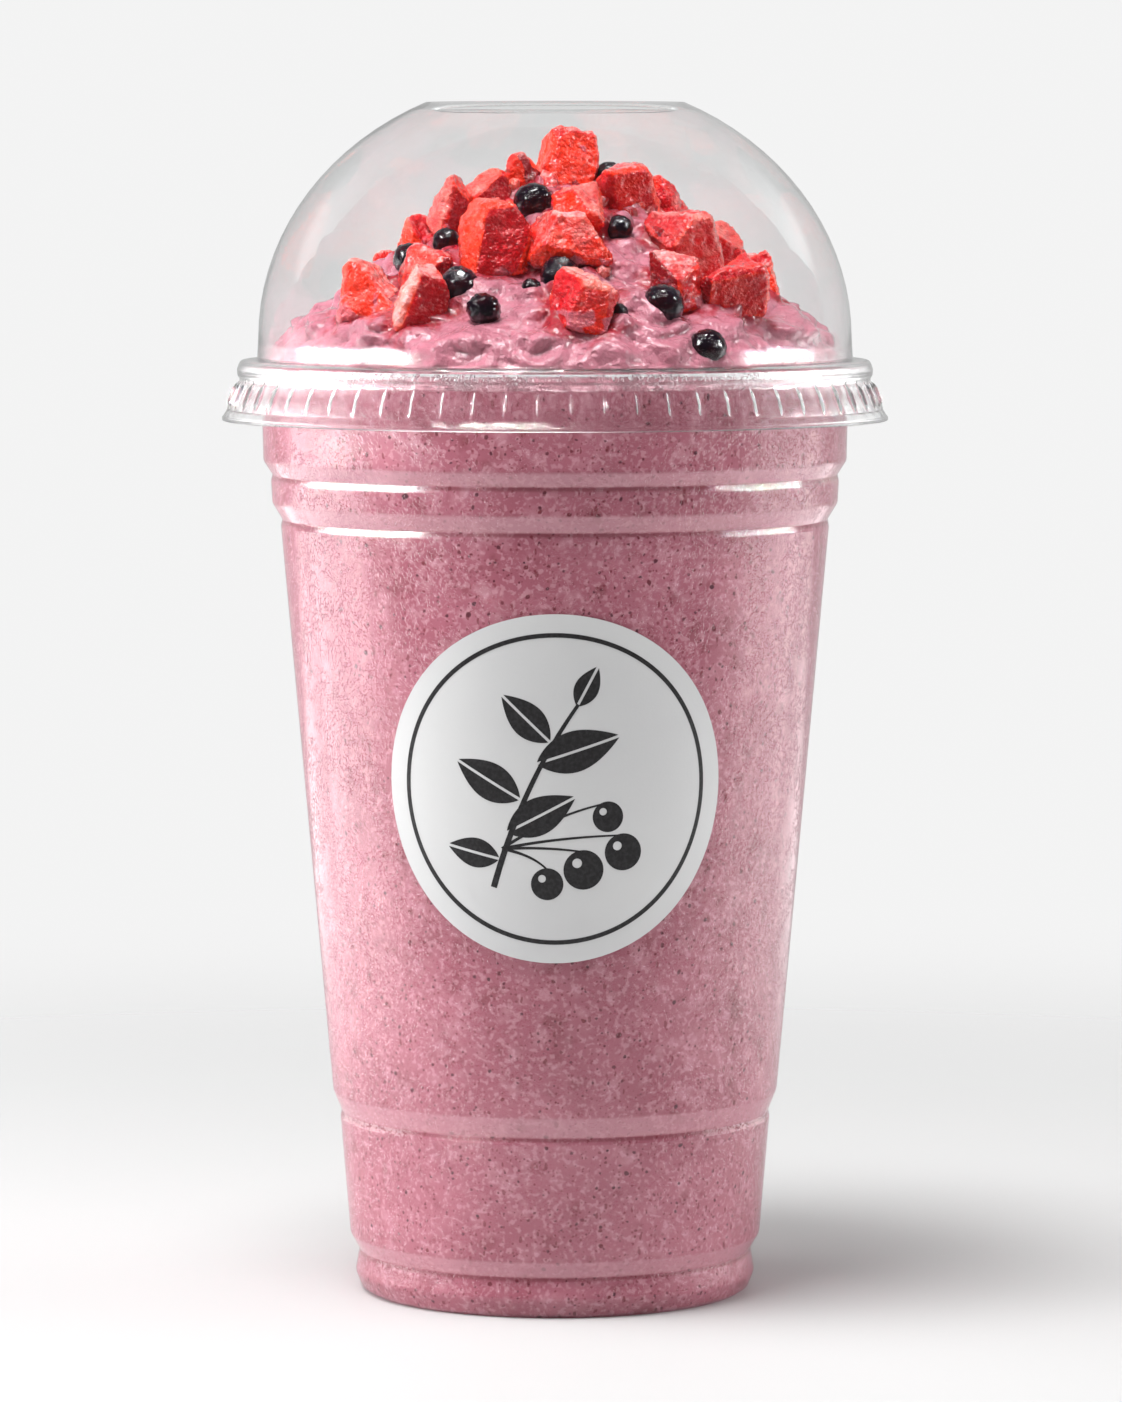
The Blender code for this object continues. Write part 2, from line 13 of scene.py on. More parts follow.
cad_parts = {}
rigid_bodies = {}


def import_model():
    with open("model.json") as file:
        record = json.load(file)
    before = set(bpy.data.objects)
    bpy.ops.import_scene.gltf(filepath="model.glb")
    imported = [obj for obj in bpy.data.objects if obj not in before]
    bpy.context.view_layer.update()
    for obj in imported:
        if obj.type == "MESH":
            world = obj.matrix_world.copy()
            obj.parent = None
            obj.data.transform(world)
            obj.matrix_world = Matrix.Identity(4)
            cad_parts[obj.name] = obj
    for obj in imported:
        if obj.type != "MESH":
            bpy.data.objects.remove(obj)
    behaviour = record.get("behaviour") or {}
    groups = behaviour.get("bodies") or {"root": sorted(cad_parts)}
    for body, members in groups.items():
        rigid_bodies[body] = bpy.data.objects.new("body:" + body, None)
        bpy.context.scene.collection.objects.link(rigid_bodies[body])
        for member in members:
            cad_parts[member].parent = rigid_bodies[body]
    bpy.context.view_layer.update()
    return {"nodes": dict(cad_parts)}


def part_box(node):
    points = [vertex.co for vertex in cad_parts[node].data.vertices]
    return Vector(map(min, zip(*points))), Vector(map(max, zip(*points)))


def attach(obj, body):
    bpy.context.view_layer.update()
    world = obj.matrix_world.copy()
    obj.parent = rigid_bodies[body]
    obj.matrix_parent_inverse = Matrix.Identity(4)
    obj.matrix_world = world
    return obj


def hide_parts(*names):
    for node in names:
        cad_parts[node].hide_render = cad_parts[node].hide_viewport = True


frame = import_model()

bl_info = {
    "name": "Berry smoothie",
    "version": (1, 0, 0),
    "blender": (4, 5, 0),
    "location": "3D View > Sidebar > Smoothie",
    "description": "Builds a berry smoothie in a clear cup with a dome lid",
    "category": "Object",
}

# Sizes are in millimetres where nothing else is said, and the solids' own are as in the
# part's source
MM = 0.001
WELD = 1e-6  # metres
SECTORS = 8  # equal parts of a turned shape

# Cup, as (top, bottom) of each straight band of the wall
BANDS = (
    ((46.55, 144.9), (46.25, 132.6)),
    ((45.05, 130.4), (44.85, 125.9)),
    ((43.5, 123.3), (35.45, 32.2)),
    ((34.3, 28.9), (32.75, 9.2)),
    ((31.5, 6.6), (31.9, 3.0)),
)
BAND_FOOT_ROUNDING = (1.5, 1.5, 1.8, 1.6, 1.8)
LEDGE_GROOVE = (0.22, 1.1)  # depth of the groove under a ledge, and its height
WALL = 0.5
RIM_RADIUS = 49.0
RIM_TOP = 147.6
RIM_BEAD = 1.35
STAND_OUTER = 29.8
STAND_INNER = 28.0
PUNT_RADIUS = 25.6
PUNT_HEIGHT = 2.2
CUP_STEPS = 240
PLASTIC_IOR = 1.57
MOISTURE_HEIGHT = 0.00008  # metres

# Lid
LID_WALL = 0.45
DOME_RADIUS = 47.0
DOME_RISE = 41.3
DOME_SPRING = 151.95
DOME_FOOT_RADIUS = 47.2
LID_TOP = 189.15
HOLE_RADIUS = 18.7
HOLE_LIP = 1.4
FLANGE_TOP = 148.5
FLANGE_RADIUS = 50.4
FLANGE_ROUNDING = (0.9, 1.5)
NECK_RADIUS = 50.0
NECK_HEIGHT = 145.6
SKIRT_TOP = 145.2
SKIRT_RADIUS = 51.9
SKIRT_FOOT = 141.2
SKIRT_LIP_RADIUS = 52.8
SKIRT_BOTTOM = 139.0
SKIRT_LIP_WIDTH = 0.5
RIB_WIDTH = 1.0
COLUMNS_PER_RIB = 12
COLUMN_CROWDING = 0.7  # how far the columns gather at the ribs
SCALLOP = 0.22
RIB_TAPER = 0.6  # how bluntly the ribs end
DOME_ROWS = 17
SLOPE_ROWS = 8  # rows of faces down the slope that carries the ribs
CLEARING = 0.0015  # metres of height over which the lid turns quite smooth

# Drink
SHOULDER = 144.8
MOUND = (
    (45.4, 147.2),
    (44.6, 149.4),
    (43.0, 152.0),
    (40.8, 154.6),
    (36.5, 157.4),
    (31.5, 160.2),
    (25.5, 164.6),
    (19.0, 169.2),
    (12.5, 173.0),
    (6.0, 175.6),
)
MOUND_TOP = 176.6
LUMP_SIZE = 9.0
LUMP_DEPTH = 3.2
LUMP_FADE = 3.0
DRINK_STEPS = 416
DRINK_REACH = 0.1  # how far the drink reaches into the cup's wall
HEAP_ROW = 0.44
SWIRL_SIZE = 6.0
SWIRL_REACH = 3.0
SWIRL_STARTS = ((3.1, 0.0, 0.0), (0.0, 8.7, 0.0), (0.0, 0.0, 5.3))
FOLD_STRETCH = 1.5
LOBES = (6.2, 2.2, (11.3, 4.9, 2.2))  # size, depth and the start of the noise
CREASES = (2.7, 0.65, (1.9, 14.2, 6.6))
RIPPLES = (1.2, 0.07, (5.5, 2.1, 9.4))
FOLD_FADE = 3.0
CLING_REACH = 0.6  # how far from the fruit the drink is drawn up
CLING_SEARCH = 0.004  # metres, past which no fruit is looked for
STAIN_SEARCH = 0.006
STAIN_REACH = 3.4  # how far juice from the strawberries colours the drink
DOME_CLEARANCE = 0.25

# Fruit
STRAWBERRY_GROWTH = 1.16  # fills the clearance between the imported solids
BERRY_GROWTH = 1.06
KNOBBLY = ("_05", "_06")  # the shrivelled berries in front
CROWN = (0.36, 0.09)  # angle of the crown's lip from the berry's top and its width, radians
CROWN_RISE = 0.05  # share of the berry's radius
CROWN_PIT = 0.2
PEAK = ("_01", "_02")  # the pieces at the top
PEAK_DEPTH = 0.35  # how deep those are cut, as a share of the others
FRUIT_CELL = 0.3  # size of the faces on cut fruit
FRUIT_SMOOTHING = 2
DENTS = ((3.4, 0.42), (1.2, 0.26))  # size and depth of the dents in cut faces
PORES = (0.75, 0.34)
CUT_VALUES = ("skin", "core", "tint", "film", "frost")
SCRAP_COUNT = 240
SCRAP_SIZES = (1.6, 4.0)
SCRAP_REACH = 31.0  # the scraps lie this near the axis
BERRY_ROOM = 2.2  # how far the scraps keep from the berries' skins

# Sticker
LABEL_RADIUS = 27.2
LABEL_HEIGHT = 83.8
FLAT_WELD = 0.0005
STRIP = 1.2  # width of the upright strips that bend round the cup
PAPER = (0.02, 0.2)  # distances of the paper's two sides from the wall
INK = (0.2, 0.225)
VEIN = 0.42  # width of the bare vein in a printed leaf
STICKER_SHARP = 30  # degrees, past which an edge of the sticker is sharp

# Light, in metres
MIDDLE = (0.0, 0.0, 0.1)  # what most lights face
SHARP_EDGE = 0.12  # share of a light over which its edge fades, for the sharp ones
ROOM_SHARE = 0.65  # brightness behind the cup that is mirrored, as a share of the backdrop
FLOOR_FADE = (0.05, 0.34)  # where the floor fades, as shares of its radius

# Camera, fitted to the photograph
CAMERA_PLACE = (0.0, -1.05, 0.18)
CAMERA_PITCH = 4.675
CAMERA_LENS = 169.86
CAMERA_SHIFT = 0.0043


# Shared shaping tools


def bowed(start, bend, end, share):
    """A spot on the bow from start to end that bends towards a third spot."""
    return start * (1 - share) ** 2 + bend * 2 * share * (1 - share) + end * share**2


def rounded(corners, arc_points=6):
    """Turns corners given as (radius, height, rounding) into an outline with rounded corners."""
    found = []
    for i, (radius, height, rounding) in enumerate(corners):
        here = Vector((radius, height))
        if rounding <= 0.0 or i in (0, len(corners) - 1):
            found.append(here)
            continue
        back = Vector(corners[i - 1][:2]) - here
        ahead = Vector(corners[i + 1][:2]) - here
        reach = rounding / math.tan(back.angle(ahead) / 2)
        reach = min(reach, back.length * 0.48, ahead.length * 0.48)
        start = here + back.normalized() * reach
        end = here + ahead.normalized() * reach
        for step in range(arc_points + 1):
            share = step / arc_points
            found.append(bowed(start, here, end, share))
    return found


def divided(outline, longest):
    """Adds points on an outline's long stretches."""
    found = [outline[0]]
    for a, b in zip(outline, outline[1:]):
        pieces = max(1, math.ceil((b - a).length / longest))
        found += [a.lerp(b, (i + 1) / pieces) for i in range(pieces)]
    return found


def smooth_curve(points, spacing):
    """An even run of points on a smooth curve through the given ones."""
    found = []
    padded = [points[0], *points, points[-1]]
    for p0, p1, p2, p3 in zip(padded, padded[1:], padded[2:], padded[3:]):
        pieces = max(1, round((p2 - p1).length / spacing))
        for i in range(pieces):
            t = i / pieces
            spot = 2 * p1 + (p2 - p0) * t + (2 * p0 - 5 * p1 + 4 * p2 - p3) * t * t
            found.append(0.5 * (spot + (3 * p1 - p0 - 3 * p2 + p3) * t**3))
    found.append(points[-1])
    return found


def whole(form):
    return form.verts[:] + form.edges[:] + form.faces[:]


def lathe(outline, steps, closed=False):
    """A bmesh in metres: the outline turned once round the upright axis.

    One sector is spun and then repeated, which is far quicker than one long spin.
    """
    form = bmesh.new()
    points = [form.verts.new((p.x * MM, 0.0, p.y * MM)) for p in outline]
    edges = [form.edges.new(pair) for pair in zip(points, points[1:])]
    if closed:
        edges.append(form.edges.new((points[-1], points[0])))
    turn = {"cent": (0, 0, 0), "axis": (0, 0, 1)}
    first = {"angle": math.tau / SECTORS, "steps": steps // SECTORS}
    bmesh.ops.spin(form, geom=points + edges, **first, **turn)
    rest = SECTORS - 1
    others = {"angle": math.tau * rest / SECTORS, "steps": rest, "use_duplicate": True}
    bmesh.ops.spin(form, geom=whole(form), **others, **turn)
    bmesh.ops.remove_doubles(form, verts=form.verts[:], dist=WELD)
    bmesh.ops.recalc_face_normals(form, faces=form.faces[:])
    return form


def add_object(name, form, material=None):
    """Ends a bmesh as an object in the scene."""
    mesh = bpy.data.meshes.new(name)
    form.to_mesh(mesh)
    form.free()
    if material:
        mesh.materials.append(material)
    made = bpy.data.objects.new(name, mesh)
    bpy.context.scene.collection.objects.link(made)
    return made


def add_piece(name, form, material, node, sharp=None):
    """Ends a bmesh as a smooth piece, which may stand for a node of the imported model."""
    piece = add_object(name, form, material)
    piece.data.shade_smooth()
    if sharp is not None:
        piece.data.set_sharp_from_angle(angle=math.radians(sharp))
    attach(piece, "root")
    if node:
        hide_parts(node)
    return piece


def named_nodes(start):
    """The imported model's nodes whose names begin so, in order."""
    found = sorted(name for name in frame["nodes"] if name.startswith(start))
    if not found:
        raise RuntimeError(f"the packed model has no node that begins with {start}")
    return [(name, frame["nodes"][name]) for name in found]


def merged_copy(node):
    """A welded copy of a node's loose triangles."""
    form = bmesh.new()
    form.from_mesh(node.data)
    bmesh.ops.remove_doubles(form, verts=form.verts[:], dist=WELD)
    return form


def softened(form, cell, smoothing):
    """Gives a blocky form an even fine skin with soft edges."""
    blank = add_object("blank", form)
    mesh = blank.data
    skin = blank.modifiers.new("Skin", "REMESH")
    skin.mode = "VOXEL"
    skin.voxel_size = cell * MM
    soft = blank.modifiers.new("Soft", "SMOOTH")
    soft.factor = 0.5
    soft.iterations = smoothing
    graph = bpy.context.evaluated_depsgraph_get()
    fine = bpy.data.meshes.new_from_object(blank.evaluated_get(graph))
    bpy.data.objects.remove(blank)
    bpy.data.meshes.remove(mesh)
    form = bmesh.new()
    form.from_mesh(fine)
    bpy.data.meshes.remove(fine)
    form.normal_update()
    return form


def fraction(value, low, high):
    """How far a value is from low to high, eased, between 0 and 1."""
    share = min(1.0, max(0.0, (value - low) / (high - low)))
    return share * share * (3 - 2 * share)


# Shared finish tools


class Finish:
    """A shader tree under construction, with short ways to add and join its nodes."""

    def __init__(self, tree):
        self.tree = tree

    def node(self, kind, feeds=None, **settings):
        made = self.tree.nodes.new("ShaderNode" + kind)
        for key, value in settings.items():
            setattr(made, key, value)
        for socket, value in (feeds or {}).items():
            self.feed(made.inputs[socket], value)
        return made

    def feed(self, socket, value):
        if isinstance(value, bpy.types.NodeSocket):
            self.tree.links.new(value, socket)
        elif socket.type == "RGBA":
            socket.default_value = (*value[:3], 1.0)
        else:
            socket.default_value = value

    def place(self):
        return self.node("TexCoord").outputs["Object"]

    def axis(self, vector, name):
        return self.node("SeparateXYZ", {"Vector": vector}).outputs[name]

    def attribute(self, name, output="Fac"):
        return self.node("Attribute", attribute_name=name).outputs[output]

    def math(self, operation, a, b=0.0):
        return self.node("Math", {0: a, 1: b}, operation=operation).outputs[0]

    def times(self, a, b):
        return self.math("MULTIPLY", a, b)

    def plus(self, a, b, share=1.0):
        """Adds a share of b to a."""
        return self.math("ADD", a, b if share == 1.0 else self.times(b, share))

    def vector(self, operation, a, b):
        return self.node("VectorMath", {0: a, 1: b}, operation=operation).outputs["Vector"]

    def stretched(self, where, scale):
        return self.node("Mapping", {"Vector": where, "Scale": scale}).outputs["Vector"]

    def bent(self, where, scale, detail, reach):
        """A place moved about by noise, so that a pattern on it is less even."""
        warp = self.noise(where, scale, detail, output="Color")
        return self.vector("ADD", where, self.vector("MULTIPLY", warp, (reach,) * 3))

    def span(self, value, low, high, to_low=0.0, to_high=1.0):
        feeds = {0: value, 1: low, 2: high, 3: to_low, 4: to_high}
        return self.node("MapRange", feeds, interpolation_type="SMOOTHSTEP").outputs[0]

    def between(self, factor, a, b):
        return self.node("Mix", {0: factor, 2: a, 3: b}).outputs[0]

    def mix(self, factor, a, b, blend="MIX"):
        feeds = {0: factor, 6: a, 7: b}
        return self.node("Mix", feeds, data_type="RGBA", blend_type=blend).outputs[2]

    def coated(self, colour, *coats):
        """Lays tones over a colour in turn. Each coat is its mask, its strength and its tone."""
        for mask, strength, tone in coats:
            colour = self.mix(mask if strength == 1.0 else self.times(mask, strength), colour, tone)
        return colour

    def noise(self, where, scale, detail=2.0, distortion=0.0, output="Fac"):
        feeds = {"Vector": where, "Scale": scale, "Detail": detail, "Distortion": distortion}
        return self.node("TexNoise", feeds).outputs[output]

    def cells(self, where, scale, feature="F1"):
        return self.node("TexVoronoi", {"Vector": where, "Scale": scale}, feature=feature).outputs

    def channels(self, colour):
        return self.node("SeparateColor", {"Color": colour}).outputs

    def bump(self, height, distance, strength=1.0, normal=None):
        feeds = {"Height": height, "Distance": distance, "Strength": strength}
        if normal is not None:
            feeds["Normal"] = normal
        return self.node("Bump", feeds).outputs["Normal"]

    def use(self, effect, feeds):
        """Places a shared effect, which is built the first time that it is asked for."""
        group = bpy.data.node_groups.get(effect.__name__) or effect(effect.__name__)
        return self.node("Group", feeds, node_tree=group).outputs

    def surface(self, colour, roughness, ior, normal, coat=0.0, coat_roughness=0.03, **more):
        """A Principled shader. Further inputs are named with _ for each space."""
        feeds = {"Base Color": colour, "Roughness": roughness, "IOR": ior, "Normal": normal}
        feeds |= {"Coat Weight": coat, "Coat Roughness": coat_roughness, "Coat IOR": ior}
        feeds |= {key.replace("_", " "): value for key, value in more.items()}
        return self.node("BsdfPrincipled", feeds).outputs[0]

    def either(self, mask, a, b):
        """Shader a where the mask is 0, and shader b where it is 1."""
        return self.node("MixShader", {0: mask, 1: a, 2: b}).outputs[0]

    def end(self, shader):
        self.node("OutputMaterial", {"Surface": shader})


def new_finish(name):
    material = bpy.data.materials.new(name)
    material.use_nodes = True
    material.node_tree.nodes.clear()
    return material, Finish(material.node_tree)


def new_effect(name, inputs, outputs):
    """A shared node group of numbers read at a place: it, its finish, inputs and outputs."""
    group = bpy.data.node_groups.new(name, "ShaderNodeTree")
    group.interface.new_socket("Vector", in_out="INPUT", socket_type="NodeSocketVector")
    for label, default in inputs.items():
        socket = group.interface.new_socket(label, in_out="INPUT", socket_type="NodeSocketFloat")
        socket.default_value = default
    for label in outputs:
        group.interface.new_socket(label, in_out="OUTPUT", socket_type="NodeSocketFloat")
    given = group.nodes.new("NodeGroupInput").outputs
    return group, Finish(group), given, group.nodes.new("NodeGroupOutput").inputs


def scattered_specks(name):
    """Small round specks scattered through a solid, as a mask, and a chance tone for each."""
    inputs = {"Scale": 400.0, "Size": 0.25, "Share": 0.5}
    group, finish, given, result = new_effect(name, inputs, ("Mask", "Tone"))
    cells = finish.cells(given["Vector"], given["Scale"])
    chance = finish.channels(cells["Color"])
    size = finish.times(given["Size"], finish.plus(chance[1], 0.45))
    spot = finish.span(cells["Distance"], finish.times(size, 0.7), size, 1.0, 0.0)
    kept = finish.math("LESS_THAN", chance[0], given["Share"])
    finish.feed(result["Mask"], finish.times(spot, kept))
    finish.feed(result["Tone"], chance[2])
    return group


def clinging_drink(name):
    """Patches of drink that cling to fruit, more of them where the film value is high."""
    group, finish, given, result = new_effect(name, {"Film": 0.3}, ("Mask",))
    broad = finish.noise(given["Vector"], 260.0, 3.0, 0.6)
    level = finish.math("SUBTRACT", 1.0, given["Film"])
    low = finish.span(level, 0.0, 1.0, 0.26, 0.72)
    finish.feed(result["Mask"], finish.span(broad, low, finish.plus(low, 0.09)))
    return group


def moulded_ripple(name):
    """The faint unevenness of formed plastic, as a height."""
    group, finish, given, result = new_effect(name, {}, ("Height",))
    broad = finish.noise(finish.stretched(given["Vector"], (1.0, 1.0, 0.35)), 45.0, 1.0)
    fine = finish.noise(given["Vector"], 160.0, 2.0)
    finish.feed(result["Height"], finish.plus(broad, fine, 0.22))
    return group


def clear_plastic(name, tint, roughness, relief, clear_above=None):
    """Clear plastic, quite smooth above a height where one is given.

    Shadows and light from what it holds pass straight through it.
    """
    material, finish = new_finish(name)
    if clear_above is not None:
        height = finish.axis(finish.place(), "Z")
        roughness = finish.span(height, clear_above - CLEARING, clear_above, roughness, 0.0)
    normal = relief(finish)
    shell = finish.surface(tint, roughness, PLASTIC_IOR, normal, Transmission_Weight=1.0)
    clear = finish.node("BsdfTransparent", {"Color": tint}).outputs[0]
    path = finish.node("LightPath").outputs
    mirrored = finish.math("GREATER_THAN", path["Glossy Depth"], 0.5)
    inside = finish.math("GREATER_THAN", path["Transmission Depth"], 1.5)
    for ray in (finish.times(mirrored, inside), path["Is Diffuse Ray"], path["Is Shadow Ray"]):
        shell = finish.either(ray, shell, clear)
    finish.end(shell)
    return material


def plastic_ripples(finish, strength):
    ripple = finish.use(moulded_ripple, {"Vector": finish.place()})["Height"]
    return finish.bump(ripple, 0.00025, strength)


def cup_relief(finish):
    """The cup's outside: faint ripples, fine curled ridges of moisture and small beads."""
    where = finish.place()
    curl = finish.noise(finish.bent(where, 800.0, 1.0, 0.0008), 1050.0, 1.5)
    line = finish.math("ABSOLUTE", finish.math("SUBTRACT", curl, 0.5))
    strokes = finish.span(line, 0.0, 0.06, 1.0, 0.0)
    patch = finish.span(finish.noise(where, 170.0, 2.0), 0.36, 0.52)
    base = plastic_ripples(finish, 0.15)
    curled = finish.bump(finish.times(strokes, patch), MOISTURE_HEIGHT, 0.8, base)
    cells = finish.cells(where, 520.0)
    size = finish.span(finish.channels(cells["Color"])[0], 0.55, 1.0, 0.0, 0.34)
    drop = finish.math("MAXIMUM", finish.math("SUBTRACT", size, cells["Distance"]), 0.0)
    drop = finish.math("POWER", finish.times(drop, 3.0), 0.5)
    return finish.bump(drop, MOISTURE_HEIGHT, 0.7, curled)


def lid_relief(finish):
    return plastic_ripples(finish, 0.1)


def ledge_bands(finish, height):
    """Masks by height: painted light on the cup's ledges, and painted shade just under each of
    them.
    """

    def strip(start, full, end_full, end):
        rise = finish.span(height, start * MM, full * MM)
        return finish.times(rise, finish.span(height, end * MM, end_full * MM))

    painted_ledge_light, shade = 0.0, 0.0
    for upper, lower in zip(BANDS, BANDS[1:]):
        top, foot = upper[1][1], lower[0][1]
        # painted light over each ledge, and painted shade in a thin band just under it
        painted_ledge_light = finish.plus(painted_ledge_light, strip(foot - 0.2, foot + 0.3, top - 0.3, top + 0.2))
        shade = finish.plus(shade, strip(foot - 0.95, foot - 0.45, foot - 0.3, foot))
    return painted_ledge_light, shade


def speck_masks(finish, where, scale, size, share):
    feeds = {"Vector": where, "Scale": scale, "Size": size, "Share": share}
    return finish.use(scattered_specks, feeds)


def drink_finish(settings):
    """Blended fruit drink: mottled pink, full of small dark and red specks, wet on the heap."""
    material, finish = new_finish("blended_drink")
    where = finish.place()
    bent = finish.bent(where, 700.0, 2.0, 0.0007)
    pale, milk, pulp = settings.pale_colour, settings.milk_colour, settings.pulp_colour
    # place, scale and detail of the noise, then where its mask starts and ends, and how strong
    mottles = (
        (where, 55.0, 4.0, 0.3, 0.8, 0.5, pale),
        (bent, 330.0, 3.0, 0.5, 0.78, 0.4, milk),
        (bent, 240.0, 3.0, 0.56, 0.74, 0.5, pulp),
        (bent, 1250.0, 1.5, 0.52, 0.64, 0.4, milk),
    )
    colour = settings.colour
    for spot, scale, detail, low, high, strength, tone in mottles:
        mask = finish.span(finish.noise(spot, scale, detail), low, high, 0.0, strength)
        colour = finish.mix(mask, colour, tone)
    long_way = finish.stretched(bent, (1.0, 1.0, 0.45))
    # place, scale, size and share of the specks, then their colour and how strong it is
    specks = (
        (long_way, 760.0, 0.19, 0.45, pulp, 0.7),
        (bent, 1400.0, 0.26, 0.6, pulp, 0.6),
        (bent, 900.0, 0.2, 0.7, settings.speck_colour, 0.8),
        (bent, 480.0, 0.15, 0.65, settings.speck_colour, 0.9),
        (bent, 210.0, 0.085, 0.35, settings.speck_colour, 0.95),
    )
    for spot, scale, size, share, tone, strength in specks:
        found = speck_masks(finish, spot, scale, size, share)
        tone = finish.mix(found["Tone"], tone, pulp)
        colour = finish.coated(colour, (found["Mask"], strength, tone))
    juice = finish.span(finish.noise(where, 380.0, 3.0), 0.25, 0.75)
    juice = finish.span(finish.plus(finish.attribute("stain"), juice, 0.5), 0.5, 1.1)
    height = finish.axis(where, "Z")
    heap = finish.span(height, SHOULDER * MM, (SHOULDER + 1.5) * MM)
    painted_ledge_light, shade = ledge_bands(finish, height)
    colour = finish.coated(
        colour,
        # painted light over the ledges in the milk colour, and painted shade under them in the pulp
        # colour
        (painted_ledge_light, 0.5, milk),
        (shade, 0.5, pulp),
        # the heap paler than the drink along the wall: partly whipped drink, partly painted light
        # from above
        (heap, 0.8, pale),
        (juice, 1.0, settings.juice_colour),
    )
    wet = finish.span(finish.noise(where, 300.0, 3.0), 0.35, 0.65, 0.12, 0.3)
    pits = finish.span(finish.cells(bent, 520.0, "SMOOTH_F1")["Distance"], 0.05, 0.3)
    crumb = finish.times(finish.plus(finish.noise(bent, 900.0, 3.0), pits, 0.45), heap)
    normal = finish.bump(crumb, 0.0005, 0.9)
    roughness = finish.between(heap, 0.75, wet)
    finish.end(finish.surface(colour, roughness, 1.38, normal, heap, 0.05))
    return material


def film_mask(finish):
    """Where drink clings to a piece of fruit, by the piece's own film value."""
    feeds = {"Vector": finish.place(), "Film": finish.attribute("film")}
    return finish.use(clinging_drink, feeds)["Mask"]


def strawberry_finish(settings, film_colour):
    """Cut strawberry: orange-red flesh, pale core, glossy skin with seeds, patches of drink."""
    material, finish = new_finish("cut_strawberry")
    local = finish.attribute("grain", "Vector")
    streak = finish.noise(finish.stretched(local, (1.0, 1.0, 0.22)), 900.0, 3.0, 0.4)
    blotch = finish.noise(local, 240.0, 3.0, 0.8)
    depth = finish.span(finish.plus(finish.attribute("tint"), blotch, 0.6), 0.42, 0.95)
    pale = finish.plus(finish.times(streak, 0.5), finish.attribute("core"), 0.7)
    pale = finish.span(finish.plus(pale, blotch, 0.5), 0.7, 1.3, 0.0, 0.9)
    rind = finish.span(finish.plus(finish.attribute("skin"), blotch, 0.25), 0.5, 0.85)
    seed = speck_masks(finish, finish.stretched(local, (1.0, 1.0, 0.7)), 420.0, 0.12, 0.7)
    seed = finish.times(seed["Mask"], rind)
    frost = finish.plus(finish.noise(local, 950.0, 3.0), finish.attribute("frost"))
    film = film_mask(finish)
    colour = finish.coated(
        settings.flesh,
        (depth, 1.0, settings.deep_flesh),
        (pale, 1.0, settings.core),
        (rind, 1.0, settings.skin),
        (seed, 1.0, settings.seed),
        (finish.span(frost, 0.85, 1.3, 0.0, 0.7), 1.0, settings.frost),
        (film, 0.6, film_colour),
    )
    height = finish.plus(finish.noise(local, 1300.0, 2.0), streak, 0.7)
    for layer, share in ((finish.noise(local, 2600.0, 1.0), 0.45), (film, 0.35), (seed, -0.8)):
        height = finish.plus(height, layer, share)
    roughness = finish.span(finish.noise(local, 500.0, 2.0), 0.3, 0.7, 0.09, 0.3)
    shell = finish.surface(
        colour,
        roughness,
        1.4,
        finish.bump(height, 0.0005, 0.9),
        coat=1.0,
        coat_roughness=0.06,
        Subsurface_Weight=0.2,
        Subsurface_Scale=0.0015,
        Subsurface_Radius=(1.0, 0.25, 0.12),
    )
    finish.end(shell)
    return material


def berry_finish(settings, film_colour):
    """Dark berry: near black purple, wet and wrinkled, with some dusty bloom."""
    material, finish = new_finish("dark_round_berry")
    local = finish.attribute("grain", "Vector")
    cloud = finish.noise(local, 330.0, 3.0, 0.5)
    dust = finish.times(finish.attribute("bloom"), finish.span(cloud, 0.62, 0.4))
    colour = finish.coated(
        settings.berry,
        (finish.span(cloud, 0.42, 0.7), 1.0, settings.berry_red),
        (dust, 1.0, settings.bloom),
        (finish.attribute("crown"), 1.0, settings.berry),
        (film_mask(finish), 0.55, film_colour),
    )
    wrinkle = finish.noise(local, 620.0, 3.0, 0.8)
    height = finish.plus(wrinkle, finish.noise(local, 1500.0, 2.0), 0.15)
    roughness = finish.span(dust, 0.0, 1.0, 0.08, 0.3)
    normal = finish.bump(height, 0.0005, 1.0)
    shell = finish.surface(
        colour, roughness, 1.45, normal, coat=0.8, coat_roughness=0.05, Specular_IOR_Level=0.25
    )
    finish.end(shell)
    return material


def paper_finish(settings):
    """Smooth white sticker paper with a faint grain."""
    material, finish = new_finish("sticker_paper")
    where = finish.place()
    shade = finish.span(finish.noise(where, 35.0, 3.0), 0.35, 0.75)
    grain = finish.noise(where, 2600.0, 3.0)
    colour = finish.mix(shade, settings.paper, settings.paper_shade)
    roughness = finish.span(grain, 0.3, 0.7, 0.42, 0.55)
    finish.end(finish.surface(colour, roughness, 1.45, finish.bump(grain, 0.00003, 0.5)))
    return material


def ink_finish(settings):
    """Dark printing ink, a little uneven on the paper's grain."""
    material, finish = new_finish("sticker_ink")
    grain = finish.noise(finish.place(), 1800.0, 3.0)
    colour = finish.mix(finish.span(grain, 0.35, 0.75), settings.ink, settings.ink_worn)
    finish.end(finish.surface(colour, 0.38, 1.5, finish.bump(grain, 0.00002, 0.5)))
    return material


def floor_finish(settings):
    """A pale matt floor that fades into the backdrop far from the cup."""
    material, finish = new_finish("pale_floor")
    where = finish.place()
    grain = finish.bump(finish.noise(where, 900.0, 3.0), 0.00005, 0.3)
    shade = finish.span(finish.noise(where, 6.0, 2.0), 0.3, 0.7, 0.985, 1.0)
    colour = finish.mix(1.0, settings.floor, shade, "MULTIPLY")
    shell = finish.surface(colour, 0.6, 1.5, grain)
    away = finish.node("VectorMath", {0: where}, operation="LENGTH").outputs["Value"]
    start, end = (settings.floor_size * share for share in FLOOR_FADE)
    clear = finish.node("BsdfTransparent").outputs[0]
    finish.end(finish.either(finish.span(away, start, end), shell, clear))
    return material


# Cup


